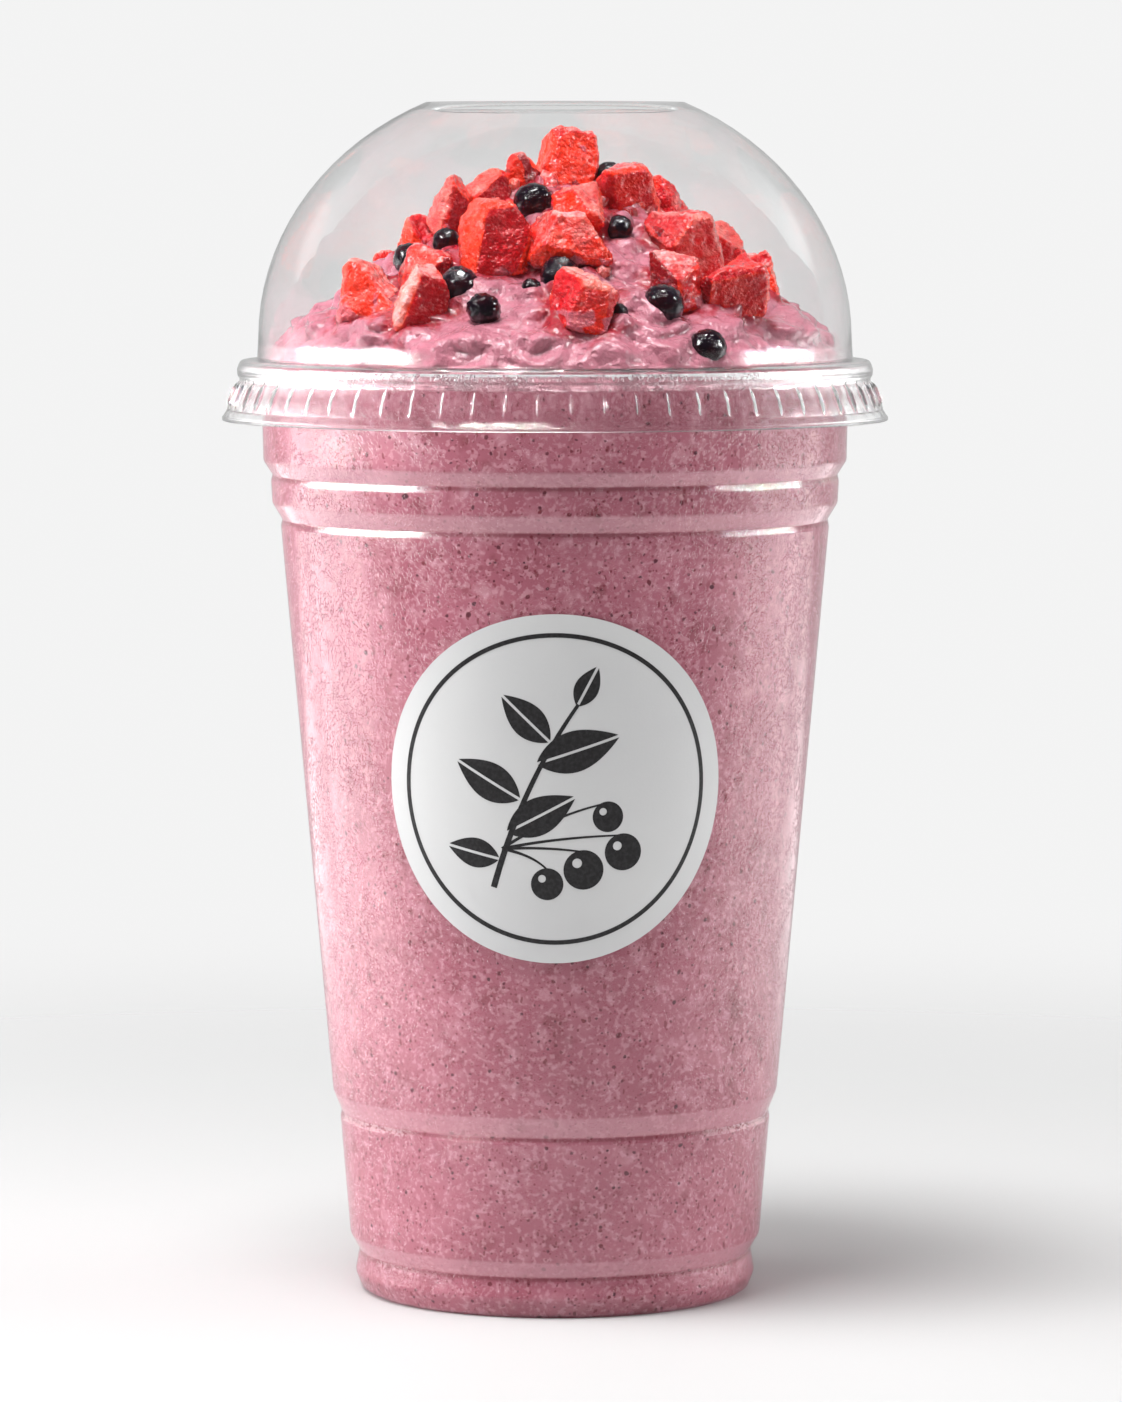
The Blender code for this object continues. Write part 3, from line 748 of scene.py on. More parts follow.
def wall_corners(inset):
    """The wall's corners from under the rim to the foot, with the rounding of each."""
    found = []
    groove, below = LEDGE_GROOVE
    for i, ((top_radius, top), (foot_radius, foot)) in enumerate(BANDS):
        if i == 0:
            found.append((top_radius - inset, top, 0.3))
        else:
            found.append((top_radius - inset - groove, top, 0.25))
            found.append((top_radius - inset, top - below, 0.6))
        found.append((foot_radius - inset, foot, BAND_FOOT_ROUNDING[i]))
    return found


def cup_outline(wall):
    """The cup's outline from the middle of its floor, up the inside and down the outside."""
    inside = [
        (0.0, PUNT_HEIGHT + wall, 0.0),
        (PUNT_RADIUS, PUNT_HEIGHT + wall, 1.0),
        (STAND_INNER, wall, 0.5),
        (STAND_OUTER - 0.2, wall, 0.8),
        *reversed(wall_corners(wall)),
        (BANDS[0][0][0] - wall, BANDS[0][0][1] + 1.2, 0.5),
    ]
    bead = Vector((RIM_RADIUS - RIM_BEAD, RIM_TOP - RIM_BEAD))
    turns = [math.radians(degrees) for degrees in range(150, -86, -12)]
    rim = [bead + Vector((math.cos(turn), math.sin(turn))) * RIM_BEAD for turn in turns]
    outside = [
        (*rim[-1], 0.0),
        *wall_corners(0.0),
        (31.0, 0.75, 0.8),
        (STAND_OUTER, 0.0, 0.3),
        (STAND_INNER, 0.0, 0.4),
        (PUNT_RADIUS, PUNT_HEIGHT, 1.0),
        (0.0, PUNT_HEIGHT, 0.0),
    ]
    return divided(rounded(inside), 3.0) + rim + divided(rounded(outside), 1.6)[1:]


# Lid


def dome_line(inset):
    """The dome's wall from its upright foot to the flat top, moved inwards by inset."""
    top = LID_TOP - inset
    last = math.asin((top - DOME_SPRING) / (DOME_RISE - inset))
    found = []
    for i in range(DOME_ROWS + 1):
        angle = last * i / DOME_ROWS
        across = (DOME_RADIUS - inset) * math.cos(angle)
        up = DOME_SPRING + (DOME_RISE - inset) * math.sin(angle)
        found.append((across, up, 0.0))
    return found


def lid_outline():
    """The lid's outline, closed: up the inside, over the lip of the hole, down the outside."""
    w = LID_WALL
    inside = [
        (SKIRT_LIP_RADIUS - SKIRT_LIP_WIDTH, SKIRT_BOTTOM + 0.05, 0.15),
        (SKIRT_LIP_RADIUS - SKIRT_LIP_WIDTH - 0.1, SKIRT_BOTTOM + 0.5, 0.2),
        (SKIRT_RADIUS - w + 0.1, SKIRT_FOOT - 0.5, 0.3),
        (SKIRT_RADIUS - w, SKIRT_FOOT, 0.0),
        (SKIRT_RADIUS - w - 0.95, (SKIRT_FOOT + SKIRT_TOP) / 2, 0.0),
        (NECK_RADIUS - w, SKIRT_TOP, 0.0),
        (NECK_RADIUS - w, NECK_HEIGHT + 0.4, 0.15),
        (FLANGE_RADIUS - w - 0.1, NECK_HEIGHT + 0.9, 0.3),
        (FLANGE_RADIUS - w - 0.5, FLANGE_TOP - w, 0.7),
        (DOME_RADIUS - w, FLANGE_TOP - w, 0.5),
        *dome_line(w),
        (HOLE_RADIUS + w, LID_TOP - w, 0.25),
        (HOLE_RADIUS + w, LID_TOP - HOLE_LIP + 0.1, 0.1),
        (HOLE_RADIUS + w * 0.5, LID_TOP - HOLE_LIP, 0.1),
        (HOLE_RADIUS, LID_TOP - HOLE_LIP + 0.1, 0.1),
        (HOLE_RADIUS, LID_TOP, 0.3),
    ]
    slope = []
    for i in range(SLOPE_ROWS + 1):
        share = i / SLOPE_ROWS
        across = NECK_RADIUS + (SKIRT_RADIUS - NECK_RADIUS) * share
        slope.append((across, SKIRT_TOP + (SKIRT_FOOT - SKIRT_TOP) * share, 0.0))
    outside = [
        *reversed(dome_line(0.0)),
        (DOME_FOOT_RADIUS, FLANGE_TOP, 0.5),
        (FLANGE_RADIUS - FLANGE_ROUNDING[0] * 0.6, FLANGE_TOP, 0.9),
        (FLANGE_RADIUS, FLANGE_TOP - FLANGE_ROUNDING[1], 0.8),
        (FLANGE_RADIUS - 0.1, NECK_HEIGHT + 0.5, 0.3),
        (NECK_RADIUS, NECK_HEIGHT, 0.15),
        *slope,
        (SKIRT_RADIUS + 0.15, SKIRT_FOOT - 0.6, 0.3),
        (SKIRT_LIP_RADIUS - 0.25, SKIRT_BOTTOM + 0.75, 0.3),
        (SKIRT_LIP_RADIUS, SKIRT_BOTTOM + SKIRT_LIP_WIDTH, 0.2),
        (SKIRT_LIP_RADIUS, SKIRT_BOTTOM, 0.15),
        (SKIRT_LIP_RADIUS - SKIRT_LIP_WIDTH * 0.7, SKIRT_BOTTOM, 0.0),
    ]
    return rounded(inside, 3) + rounded(outside, 3)


def raise_ribs(form, count, proud):
    """Gathers the lid's columns at the ribs, then raises the ribs and bows the panels."""
    pitch = math.tau / count
    middle = (SKIRT_TOP + SKIRT_FOOT) / 2
    half = (SKIRT_TOP - SKIRT_FOOT) / 2
    for v in form.verts:
        radius = math.hypot(v.co.x, v.co.y)
        turn = math.atan2(v.co.y, v.co.x) / pitch - 0.5
        step = turn - round(turn)
        step -= COLUMN_CROWDING * math.sin(math.tau * step) / math.tau
        angle = (round(turn) + step + 0.5) * pitch
        height = v.co.z / MM
        out = 0.0
        if height < SKIRT_TOP + 0.01:
            across = abs(step) * pitch * radius / MM
            ends = 1.0 - abs(height - middle) / half
            if ends > 0.0:
                ridge = math.cos(min(1.0, across / (RIB_WIDTH / 2)) * math.pi / 2) ** 2
                out += proud * ridge * min(1.0, ends * 2.0) ** RIB_TAPER
            bow = fraction(SKIRT_TOP - height, 0.0, 3.2)
            bow *= fraction(height, SKIRT_BOTTOM + 0.4, SKIRT_FOOT)
            out -= SCALLOP * bow * math.cos(math.pi * step) ** 2
        radius += out * MM
        v.co.x = radius * math.cos(angle)
        v.co.y = radius * math.sin(angle)


# Drink


def relief(spot):
    """How far the heap's lumps push the surface out at a spot, as in the part's source."""
    near = noise.noise(spot / LUMP_SIZE)
    fine = noise.noise(spot / (LUMP_SIZE * 0.45) + Vector((7.1, 3.3, 1.7)))
    return LUMP_DEPTH * (near + 0.5 * fine)


def folds(spot):
    """The heap's smooth lobes with creases between them, and its faint ripples."""
    swirl = [noise.noise(spot / SWIRL_SIZE + Vector(start)) for start in SWIRL_STARTS]
    bent = spot + Vector(swirl) * SWIRL_REACH
    bent.z *= FOLD_STRETCH
    out = 0.0
    for size, depth, start in (LOBES, CREASES):
        out += depth * (abs(noise.noise(bent / size + Vector(start))) - 0.2)
    size, depth, start = RIPPLES
    return out + depth * noise.noise(bent / size + Vector(start))


def dome_limit(height):
    """The widest that the heap may be at a height, so that it stays inside the dome."""
    widest = DOME_RADIUS - LID_WALL - DOME_CLEARANCE
    rise = DOME_RISE - LID_WALL - DOME_CLEARANCE
    share = max(0.0, height - DOME_SPRING) / rise
    return widest * math.sqrt(max(0.0, 1.0 - share * share))


def heap_line():
    """The heap's smooth outline from its top to its foot at the dome."""
    return [Vector((0.0, MOUND_TOP)), *map(Vector, reversed(MOUND))]


def drink_outline():
    """The drink's outline from the top of the heap down to the cup's floor."""
    inset = WALL - DRINK_REACH
    heap = [*heap_line(), Vector((BANDS[0][0][0] - inset, SHOULDER))]
    side = wall_corners(inset)
    side[0] = (side[0][0], SHOULDER, 0.0)
    side += [
        (STAND_OUTER - 0.2, inset, 0.8),
        (STAND_INNER, inset, 0.5),
        (PUNT_RADIUS, PUNT_HEIGHT + inset, 1.0),
        (0.0, PUNT_HEIGHT + inset, 0.0),
    ]
    return smooth_curve(heap, HEAP_ROW) + divided(rounded(side, 4), 6.0)[1:]


def fruit_tree(*starts):
    """One search tree over the fruit whose names begin so."""
    form = bmesh.new()
    for start in starts:
        for name, node in named_nodes(start):
            form.from_mesh(node.data)
    tree = BVHTree.FromBMesh(form)
    form.free()
    return tree


def heap_spot(spot, lump_depth):
    """Where the heap's broad lumps and folds move a spot of its smooth outline."""
    out = Vector((spot.x, spot.y, MOUND[-2][0])).normalized()
    broad = min(1.0, max(0.0, (spot.z - MOUND[1][1]) / LUMP_FADE))
    fine = fraction(spot.z, SHOULDER, SHOULDER + FOLD_FADE)
    moved = spot + out * (relief(spot) * lump_depth / LUMP_DEPTH * broad)
    return moved + out * folds(moved) * fine, out, fine


def shape_heap(form, lump_depth, cling):
    """Moves the heap's surface: broad lumps, lobes, creases, and drink drawn up to the fruit."""
    every = fruit_tree("strawberry_", "berry_")
    red = fruit_tree("strawberry_")
    stain = form.verts.layers.float.new("stain")
    for v in form.verts:
        spot = v.co / MM
        if spot.z < SHOULDER + 0.05:
            continue
        moved, out, fine = heap_spot(spot, lump_depth)
        near = every.find_nearest(moved * MM, CLING_SEARCH)
        if near[0] is not None:
            moved += out * cling * math.exp(-near[3] / MM / CLING_REACH) * fine
        near = red.find_nearest(moved * MM, STAIN_SEARCH)
        if near[0] is not None:
            v[stain] = math.exp(-near[3] / MM / STAIN_REACH)
        reach = math.hypot(moved.x, moved.y)
        limit = dome_limit(moved.z)
        if reach > limit:
            moved.x *= limit / reach
            moved.y *= limit / reach
        v.co = moved * MM


# Fruit


def add_values(form, piece_values, names):
    """Layers for values that the materials read at each point."""
    layers = [form.verts.layers.float.new(name) for name in names]
    for v in form.verts:
        for layer, value in zip(layers, piece_values(v)):
            v[layer] = value


def add_grain(form, turn, middle):
    """Each point's place in the piece's own directions, for grain and seeds."""
    layer = form.verts.layers.float_vector.new("grain")
    back = turn.inverted()
    for v in form.verts:
        v[layer] = back @ (v.co - middle)


def middle_of(form):
    """The middle and the size of a form's box."""
    low = Vector([min(v.co[i] for v in form.verts) for i in range(3)])
    high = Vector([max(v.co[i] for v in form.verts) for i in range(3)])
    return (low + high) / 2, high - low


def slice_off(form, way, share):
    """Cuts away the last share of a form in one direction and closes the cut."""
    reaches = [v.co.dot(way) for v in form.verts]
    high = max(reaches)
    spot = way * (high - (high - min(reaches)) * share)
    plane = {"plane_co": spot, "plane_no": way, "clear_outer": True}
    cut = bmesh.ops.bisect_plane(form, geom=whole(form), dist=WELD, **plane)
    edges = [e for e in cut["geom_cut"] if isinstance(e, bmesh.types.BMEdge)]
    bmesh.ops.holes_fill(form, edges=edges, sides=0)
    bmesh.ops.recalc_face_normals(form, faces=form.faces[:])


def way_to(around, rise):
    """The direction at an angle round the upright axis that rises so much."""
    return Vector((math.cos(around), math.sin(around), rise)).normalized()


def noise_start(chance):
    return Vector([chance.uniform(-50, 50) for _ in range(3)])


def carve_strawberry(form, chance, depth):
    """Slices a block into an uneven wedge, as a knife leaves it."""
    yaw = chance.uniform(-math.pi, math.pi)
    low, high = chance.uniform(0.16, 0.3) * depth, chance.uniform(0.05, 0.2) * depth
    for side, share in ((0.0, low), (math.pi, high)):
        way = way_to(yaw + side + chance.uniform(-0.5, 0.5), chance.uniform(0.55, 1.1))
        slice_off(form, way, share)
    for _ in range(2):
        way = way_to(chance.uniform(-math.pi, math.pi), chance.uniform(-0.5, 0.4))
        slice_off(form, way, chance.uniform(0.06, 0.14))


def shape_strawberry(form, chance):
    """A cut piece: faces of different shades, worn edges, and one side that is the skin."""
    middle, size = middle_of(form)
    start = noise_start(chance)
    side = Vector((middle.x, middle.y * 0.35, 0.0)).normalized()
    lean = Matrix.Rotation(chance.uniform(-0.5, 0.5), 3, "Z")
    pale_way = (lean @ side + Vector((0.0, 0.0, chance.uniform(0.5, 1.4)))).normalized()
    yaw = math.atan2(-side.y, -side.x) + chance.uniform(-1.3, 1.3)
    away = way_to(yaw, chance.uniform(-0.4, 0.3))
    add_grain(form, away.to_track_quat("Z", "Y").to_matrix(), middle)
    pale = chance.uniform(0.3, 0.9)
    film = chance.uniform(0.0, 0.3)
    tint = chance.uniform(0.15, 0.55)
    frost = chance.uniform(0.3, 0.75)
    reach = max(size) / 2

    def values(v):
        way = (v.co - middle).dot(away) / reach
        skin = fraction(v.normal.dot(away), 0.35, 0.8) * fraction(way, 0.1, 0.5)
        core = fraction(v.normal.dot(pale_way), 0.3, 0.9) * pale
        face = noise.noise(v.normal * 1.7 + start)
        low = fraction(middle.z - v.co.z, -size.z * 0.1, size.z * 0.5)
        top = frost * max(fraction(v.normal.z, 0.2, 0.85), core)
        return skin, core, tint + face * 0.9, min(1.0, film + low * 0.45), top

    add_values(form, values, CUT_VALUES)
    for v in form.verts:
        spot = v.co / MM + start
        dent = sum(depth * noise.noise(spot / size) for size, depth in DENTS)
        dent -= PORES[1] * abs(noise.noise(spot / PORES[0]))
        v.co += v.normal * dent * MM
    growth = (STRAWBERRY_GROWTH,) * 3
    space = Matrix.Translation(-middle)
    bmesh.ops.scale(form, vec=growth, space=space, verts=form.verts[:])


def shape_berry(name, node, chance):
    """A round berry with a crown, wrinkled skin, or small knobs on the shrivelled ones."""
    form = bmesh.new()
    bmesh.ops.create_uvsphere(form, u_segments=48, v_segments=32, radius=1.0)
    low, high = map(Vector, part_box(node.name))
    middle = (low + high) / 2
    radius = sum(high - low) / 6 * BERRY_GROWTH
    lean = Matrix.Rotation(math.radians(chance.uniform(15, 80)), 3, "X")
    turn = Matrix.Rotation(chance.uniform(-math.pi, math.pi), 3, "Z") @ lean
    start = noise_start(chance)
    knobbly = name.endswith(KNOBBLY) or chance.random() < 0.15
    bloom = chance.uniform(0.0, 0.8) ** 2
    film = chance.uniform(0.0, 0.05)
    crown_layer = form.verts.layers.float.new("crown")
    for v in form.verts:
        way = v.co.normalized()
        polar = math.acos(max(-1.0, min(1.0, way.z)))
        around = math.atan2(way.y, way.x)
        spot = way * radius / MM + start
        reach = radius * 0.96
        if knobbly:
            reach += 0.32 * MM * abs(noise.noise(spot / 0.75)) - 0.1 * MM
            reach += 0.25 * MM * noise.noise(spot / 2.2)
        else:
            reach += 0.12 * MM * noise.noise(spot / 3.2)
            reach += 0.2 * MM * abs(noise.noise(spot / 1.1))
        lip = CROWN[0] + 0.05 * math.cos(5 * around)
        ridge = math.exp(-(((polar - lip) / CROWN[1]) ** 2))
        pit = 1.0 - fraction(polar, 0.12, 0.34)
        size = 0.6 if knobbly else 1.0
        reach += radius * size * (CROWN_RISE * ridge - CROWN_PIT * pit)
        v[crown_layer] = max(0.0, 1.0 - polar / 0.45) * 0.8
        v.co = way * reach
    bmesh.ops.scale(form, vec=(1.0, 1.0, 0.95), verts=form.verts)
    bmesh.ops.transform(form, matrix=turn.to_4x4(), verts=form.verts)
    bmesh.ops.translate(form, vec=middle, verts=form.verts)
    bmesh.ops.recalc_face_normals(form, faces=form.faces[:])
    add_grain(form, turn, middle)

    def values(v):
        low_side = fraction(middle.z - v.co.z, 0.0, radius)
        return bloom, min(1.0, film + 0.15 * low_side)

    add_values(form, values, ("bloom", "film"))
    return form


def scrap_spots(lump_depth):
    """Seeded places on the heap that lie in the gaps of the fruit pile."""
    chance = random.Random(5)
    tree = fruit_tree("strawberry_")
    berries = fruit_tree("berry_")
    outline = smooth_curve(heap_line(), 0.2)
    found = []
    while len(found) < SCRAP_COUNT:
        reach = SCRAP_REACH * math.sqrt(chance.random())
        angle = chance.uniform(0.0, math.tau)
        height = min(outline, key=lambda point: abs(point.x - reach)).y
        spot = Vector((reach * math.cos(angle), reach * math.sin(angle), height))
        moved = heap_spot(spot, lump_depth)[0]
        gap = tree.find_nearest(moved * MM)[3] / MM
        size = chance.uniform(*SCRAP_SIZES)
        if berries.find_nearest(moved * MM)[3] / MM < BERRY_ROOM + size / 2:
            continue
        if gap < max(1.3, 3.0 - reach * 0.05):
            found.append((moved * MM, size * MM))
    return found, chance


def scrap_form(lump_depth):
    """Chopped scraps of strawberry in the gaps of the pile, as one mesh."""
    spots, chance = scrap_spots(lump_depth)
    form = bmesh.new()
    layers = [form.verts.layers.float.new(name) for name in CUT_VALUES]
    grain = form.verts.layers.float_vector.new("grain")
    for middle, size in spots:
        made = bmesh.ops.create_icosphere(form, subdivisions=2, radius=1.0)["verts"]
        start = noise_start(chance)
        turn = Matrix.Rotation(chance.uniform(0, math.tau), 3, "Z")
        turn @= Matrix.Rotation(chance.uniform(-0.6, 0.6), 3, "X")
        shape = Vector([chance.uniform(0.75, 1.1) for _ in range(3)]) * size / 2
        values = (
            chance.choice((0.0, 0.0, 0.8)),
            chance.uniform(0.0, 0.7),
            chance.uniform(0.2, 0.9),
            chance.uniform(0.0, 0.5),
            chance.uniform(0.1, 0.5),
        )
        for v in made:
            block = Vector([math.copysign(abs(c) ** 0.62, c) for c in v.co])
            block *= 0.85 + 0.45 * noise.noise(v.co * 1.3 + start)
            block = Vector([a * b for a, b in zip(block, shape)])
            v[grain] = block
            for layer, value in zip(layers, values):
                v[layer] = value
            v.co = middle + turn @ block
    return form


# Sticker


def wall_radius(height):
    """Radius of the cup's outside on the long middle band, which the sticker is on."""
    (r0, z0), (r1, z1) = BANDS[2]
    return r1 + (r0 - r1) * (height - z1) / (z0 - z1)


def wrapped(across, up, proud):
    """Where a spot of the flat sticker lies once it is wrapped on the tapered wall."""
    (r0, z0), (r1, z1) = BANDS[2]
    lean = math.atan2(r0 - r1, z0 - z1)
    middle = (wall_radius(LABEL_HEIGHT) + proud) / math.sin(lean)
    slant = math.hypot(across, middle + up)
    angle = math.atan2(across, middle + up) / math.sin(lean)
    radius = slant * math.sin(lean)
    height = LABEL_HEIGHT + (slant - middle) * math.cos(lean)
    return Vector((radius * math.sin(angle), -radius * math.cos(angle), height))


def wrap_on_cup(form, proud, thickness):
    """Cuts a flat form into upright strips, bends it round the cup and gives it thickness."""
    half = math.ceil(LABEL_RADIUS / STRIP)
    for way, count in (((1, 0, 0), half), ((0, 1, 0), half // 3)):
        for i in range(-count, count + 1):
            spot = Vector(way) * (i * LABEL_RADIUS / count * 0.999 + 0.0123)
            plane = {"plane_co": spot, "plane_no": way}
            bmesh.ops.bisect_plane(form, geom=whole(form), dist=FLAT_WELD, **plane)
    for v in form.verts:
        v.co = wrapped(v.co.x, v.co.y, proud) * MM
    bmesh.ops.remove_doubles(form, verts=form.verts[:], dist=1e-7)
    bmesh.ops.recalc_face_normals(form, faces=form.faces[:])
    for face in form.faces:
        outward = face.calc_center_median()
        outward.z = 0.0
        if face.normal.dot(outward) < 0.0:
            face.normal_flip()
    bmesh.ops.solidify(form, geom=form.faces[:], thickness=-thickness * MM)
    bmesh.ops.recalc_face_normals(form, faces=form.faces[:])


def add_ring(form, points, *circles):
    """A flat ring between two circles, each given as its radius and its middle."""
    loops = []
    for size, middle in circles:
        place = {"segments": points, "matrix": Matrix.Translation((*middle, 0.0))}
        made = bmesh.ops.create_circle(form, cap_ends=False, radius=size, **place)["verts"]
        loops += list({e for v in made for e in v.link_edges})
    bmesh.ops.bridge_loops(form, edges=loops)


def add_leaf(form, foot, degrees, length, width, vein):
    """A pointed leaf in two halves, with its bare middle vein between them."""
    for side in (1, -1):
        part = bmesh.new()
        bmesh.ops.create_circle(part, cap_ends=True, radius=1.0, segments=64)
        for v in part.verts:
            share = (v.co.x + 1.0) / 2
            fat = math.sin(math.pi * share**0.85) ** 0.9 if 0.0 < share < 1.0 else 0.0
            rim = math.sqrt(max(1e-9, 1.0 - v.co.x**2))
            v.co = Vector((share * length, v.co.y / rim * fat * width / 2, 0.0))
        plane = {"plane_co": (0.0, side * vein / 2, 0.0), "plane_no": (0.0, side, 0.0)}
        bmesh.ops.bisect_plane(part, geom=whole(part), dist=FLAT_WELD, clear_inner=True, **plane)
        turn = Matrix.Translation((*foot, 0.0)) @ Matrix.Rotation(math.radians(degrees), 4, "Z")
        bmesh.ops.transform(part, matrix=turn, verts=part.verts)
        flat = bpy.data.meshes.new("leaf")
        part.to_mesh(flat)
        part.free()
        form.from_mesh(flat)
        bpy.data.meshes.remove(flat)


def add_stem(form, start, bend, end, width):
    """A stem that follows a bow and thins towards its end."""
    made = bmesh.ops.create_grid(form, x_segments=32, y_segments=1, size=0.5)["verts"]
    start, bend, end = Vector(start), Vector(bend), Vector(end)
    for v in made:
        t = v.co.x + 0.5
        spot = bowed(start, bend, end, t)
        ahead = ((bend - start) * (1 - t) + (end - bend) * t).normalized()
        side = Vector((-ahead.y, ahead.x)) * (v.co.y * width * (1.0 - 0.45 * t))
        v.co = Vector((spot.x + side.x, spot.y + side.y, 0.0))


def sprig_form():
    """The print: a thin ring round a sprig with leaves and round berries."""
    form = bmesh.new()
    add_ring(form, 128, (24.3, (0.0, 0.0)), (23.6, (0.0, 0.0)))
    add_stem(form, (-9.5, -15.5), (-5.0, 1.0), (3.6, 13.2), 1.0)
    leaves = (
        ((-8.6, -11.0), 168, 8.6, 4.6),
        ((-7.4, -6.8), 28, 12.0, 5.8),
        ((-5.4, -1.6), 150, 11.6, 5.8),
        ((-2.8, 4.0), 18, 13.6, 6.4),
        ((-0.8, 7.4), 136, 10.4, 5.2),
        ((3.4, 12.9), 62, 7.0, 3.8),
    )
    for foot, degrees, length, width in leaves:
        add_leaf(form, foot, degrees, length, width, VEIN)
    berries = ((4.4, -12.6, 3.1), (10.6, -10.0, 2.9), (-1.2, -14.8, 2.5), (8.2, -4.4, 2.4))
    for x, y, size in berries:
        glint = (x - size * 0.32, y + size * 0.34)
        add_ring(form, 40, (size, (x, y)), (size * 0.24, glint))
        add_stem(form, (-8.2, -9.4), (x * 0.35 - 3.0, y * 0.62 - 1.0), (x, y + size * 0.9), 0.5)
    return form


# Settings that a user would change


def colour_setting(label, text, value):
    return FloatVectorProperty(
        name=label, description=text, default=value, min=0.0, max=1.0, size=3, subtype="COLOR"
    )


def number_setting(label, text, value, low, high, **units):
    return FloatProperty(name=label, description=text, default=value, min=low, max=high, **units)


def light_setting(label, text, value):
    return number_setting(label, text, value, 0.0, 200.0, subtype="POWER", unit="POWER")


class CupSettings(bpy.types.PropertyGroup):
    wall: number_setting("Wall", "Thickness of the cup's wall in millimetres", WALL, 0.2, 1.0)
    roughness: number_setting(
        "Roughness", "How dull the plastic of the cup is", 0.1, 0.0, 1.0, subtype="FACTOR"
    )
    tint: colour_setting("Tint", "Colour of the cup's plastic", (0.985, 0.985, 0.985))


class LidSettings(bpy.types.PropertyGroup):
    ribs: IntProperty(
        name="Ribs", description="Number of ribs round the skirt", default=64, min=16, max=90
    )
    proud: number_setting(
        "Rib height", "How far the ribs stand out of the skirt, in millimetres", 0.6, 0.0, 1.0
    )
    roughness: number_setting(
        "Roughness", "How dull the lid is below its dome", 0.09, 0.0, 1.0, subtype="FACTOR"
    )
    tint: colour_setting("Tint", "Colour of the lid's plastic", (0.975, 0.98, 0.98))


class DrinkSettings(bpy.types.PropertyGroup):
    lumps: number_setting(
        "Lumps", "Depth of the heap's broad lumps in millimetres", LUMP_DEPTH, 0.0, 5.0
    )
    cling: number_setting(
        "Cling", "How far the drink is drawn up round the fruit, in millimetres", 0.35, 0.0, 2.0
    )
    colour: colour_setting("Drink", "Main colour of the drink", (0.305, 0.078, 0.113))
    pale_colour: colour_setting("Pale", "Paler parts of the drink", (0.5, 0.175, 0.23))
    milk_colour: colour_setting("Milk", "Milky streaks", (0.6, 0.3, 0.355))
    pulp_colour: colour_setting("Pulp", "Red bits of fruit", (0.15, 0.011, 0.02))
    speck_colour: colour_setting("Specks", "Dark bits of berry skin", (0.045, 0.004, 0.013))
    juice_colour: colour_setting("Juice", "Drink stained by the fruit", (0.32, 0.013, 0.024))


class FruitSettings(bpy.types.PropertyGroup):
    flesh: colour_setting("Flesh", "Cut strawberry", (0.85, 0.034, 0.01))
    deep_flesh: colour_setting("Deep flesh", "Redder cut strawberry", (0.58, 0.008, 0.014))
    core: colour_setting("Core", "Pale middle of the strawberry", (0.88, 0.32, 0.27))
    skin: colour_setting("Skin", "Skin of the strawberry", (0.3, 0.002, 0.005))
    frost: colour_setting("Frost", "Pale pulp on the cut faces", (0.88, 0.48, 0.47))
    seed: colour_setting("Seed", "Seeds in the skin", (0.75, 0.35, 0.1))
    berry: colour_setting("Berry", "Dark berry", (0.005, 0.002, 0.005))
    berry_red: colour_setting("Berry red", "Redder parts of the berry", (0.022, 0.002, 0.005))
    bloom: colour_setting("Bloom", "Dusty bloom on the berry", (0.022, 0.014, 0.023))


class StickerSettings(bpy.types.PropertyGroup):
    paper: colour_setting("Paper", "Colour of the sticker", (0.62, 0.62, 0.62))
    paper_shade: colour_setting("Paper shade", "Duller parts of the paper", (0.58, 0.58, 0.585))
    ink: colour_setting("Ink", "Colour of the print", (0.012, 0.011, 0.012))
    ink_worn: colour_setting("Thin ink", "Where the ink is thin", (0.03, 0.028, 0.03))


class StageSettings(bpy.types.PropertyGroup):
    floor_size: number_setting(
        "Floor size", "Radius of the floor", 1.6, 0.5, 10.0, subtype="DISTANCE", unit="LENGTH"
    )
    floor: colour_setting("Floor", "Colour of the floor", (0.5, 0.5, 0.5))
    backdrop: number_setting("Backdrop", "Brightness of the backdrop", 0.9, 0.0, 5.0)
    ambient: number_setting("Ambient", "Brightness of the soft fill", 0.42, 0.0, 5.0)
    mirrored: number_setting(
        "Mirrored", "Brightness of the room as glossy surfaces mirror it", 0.03, 0.0, 5.0
    )
    left: light_setting("Left light", "Power of the large soft light on the left", 4.8)
    right: light_setting("Right light", "Power of the soft light on the right", 2.8)
    top: light_setting("Top light", "Power of the soft light above", 7.2)
    glint: number_setting("Glint", "Brightness of what wet fruit mirrors", 42.0, 0.0, 200.0)
    edge: number_setting("Edge", "Brightness of what the skirt's ribs mirror", 34.0, 0.0, 200.0)


# Operators


class MakeCup(bpy.types.Operator):
    """Build the clear cup with its rolled rim, ledges and recessed bottom"""

    bl_idname = "smoothie.make_cup"
    bl_label = "Cup"

    def execute(self, context):
        settings = context.scene.smoothie_cup
        material = clear_plastic("cup_plastic", settings.tint, settings.roughness, cup_relief)
        form = lathe(cup_outline(settings.wall), CUP_STEPS)
        add_piece("clear_cup", form, material, "cup")
        return {"FINISHED"}


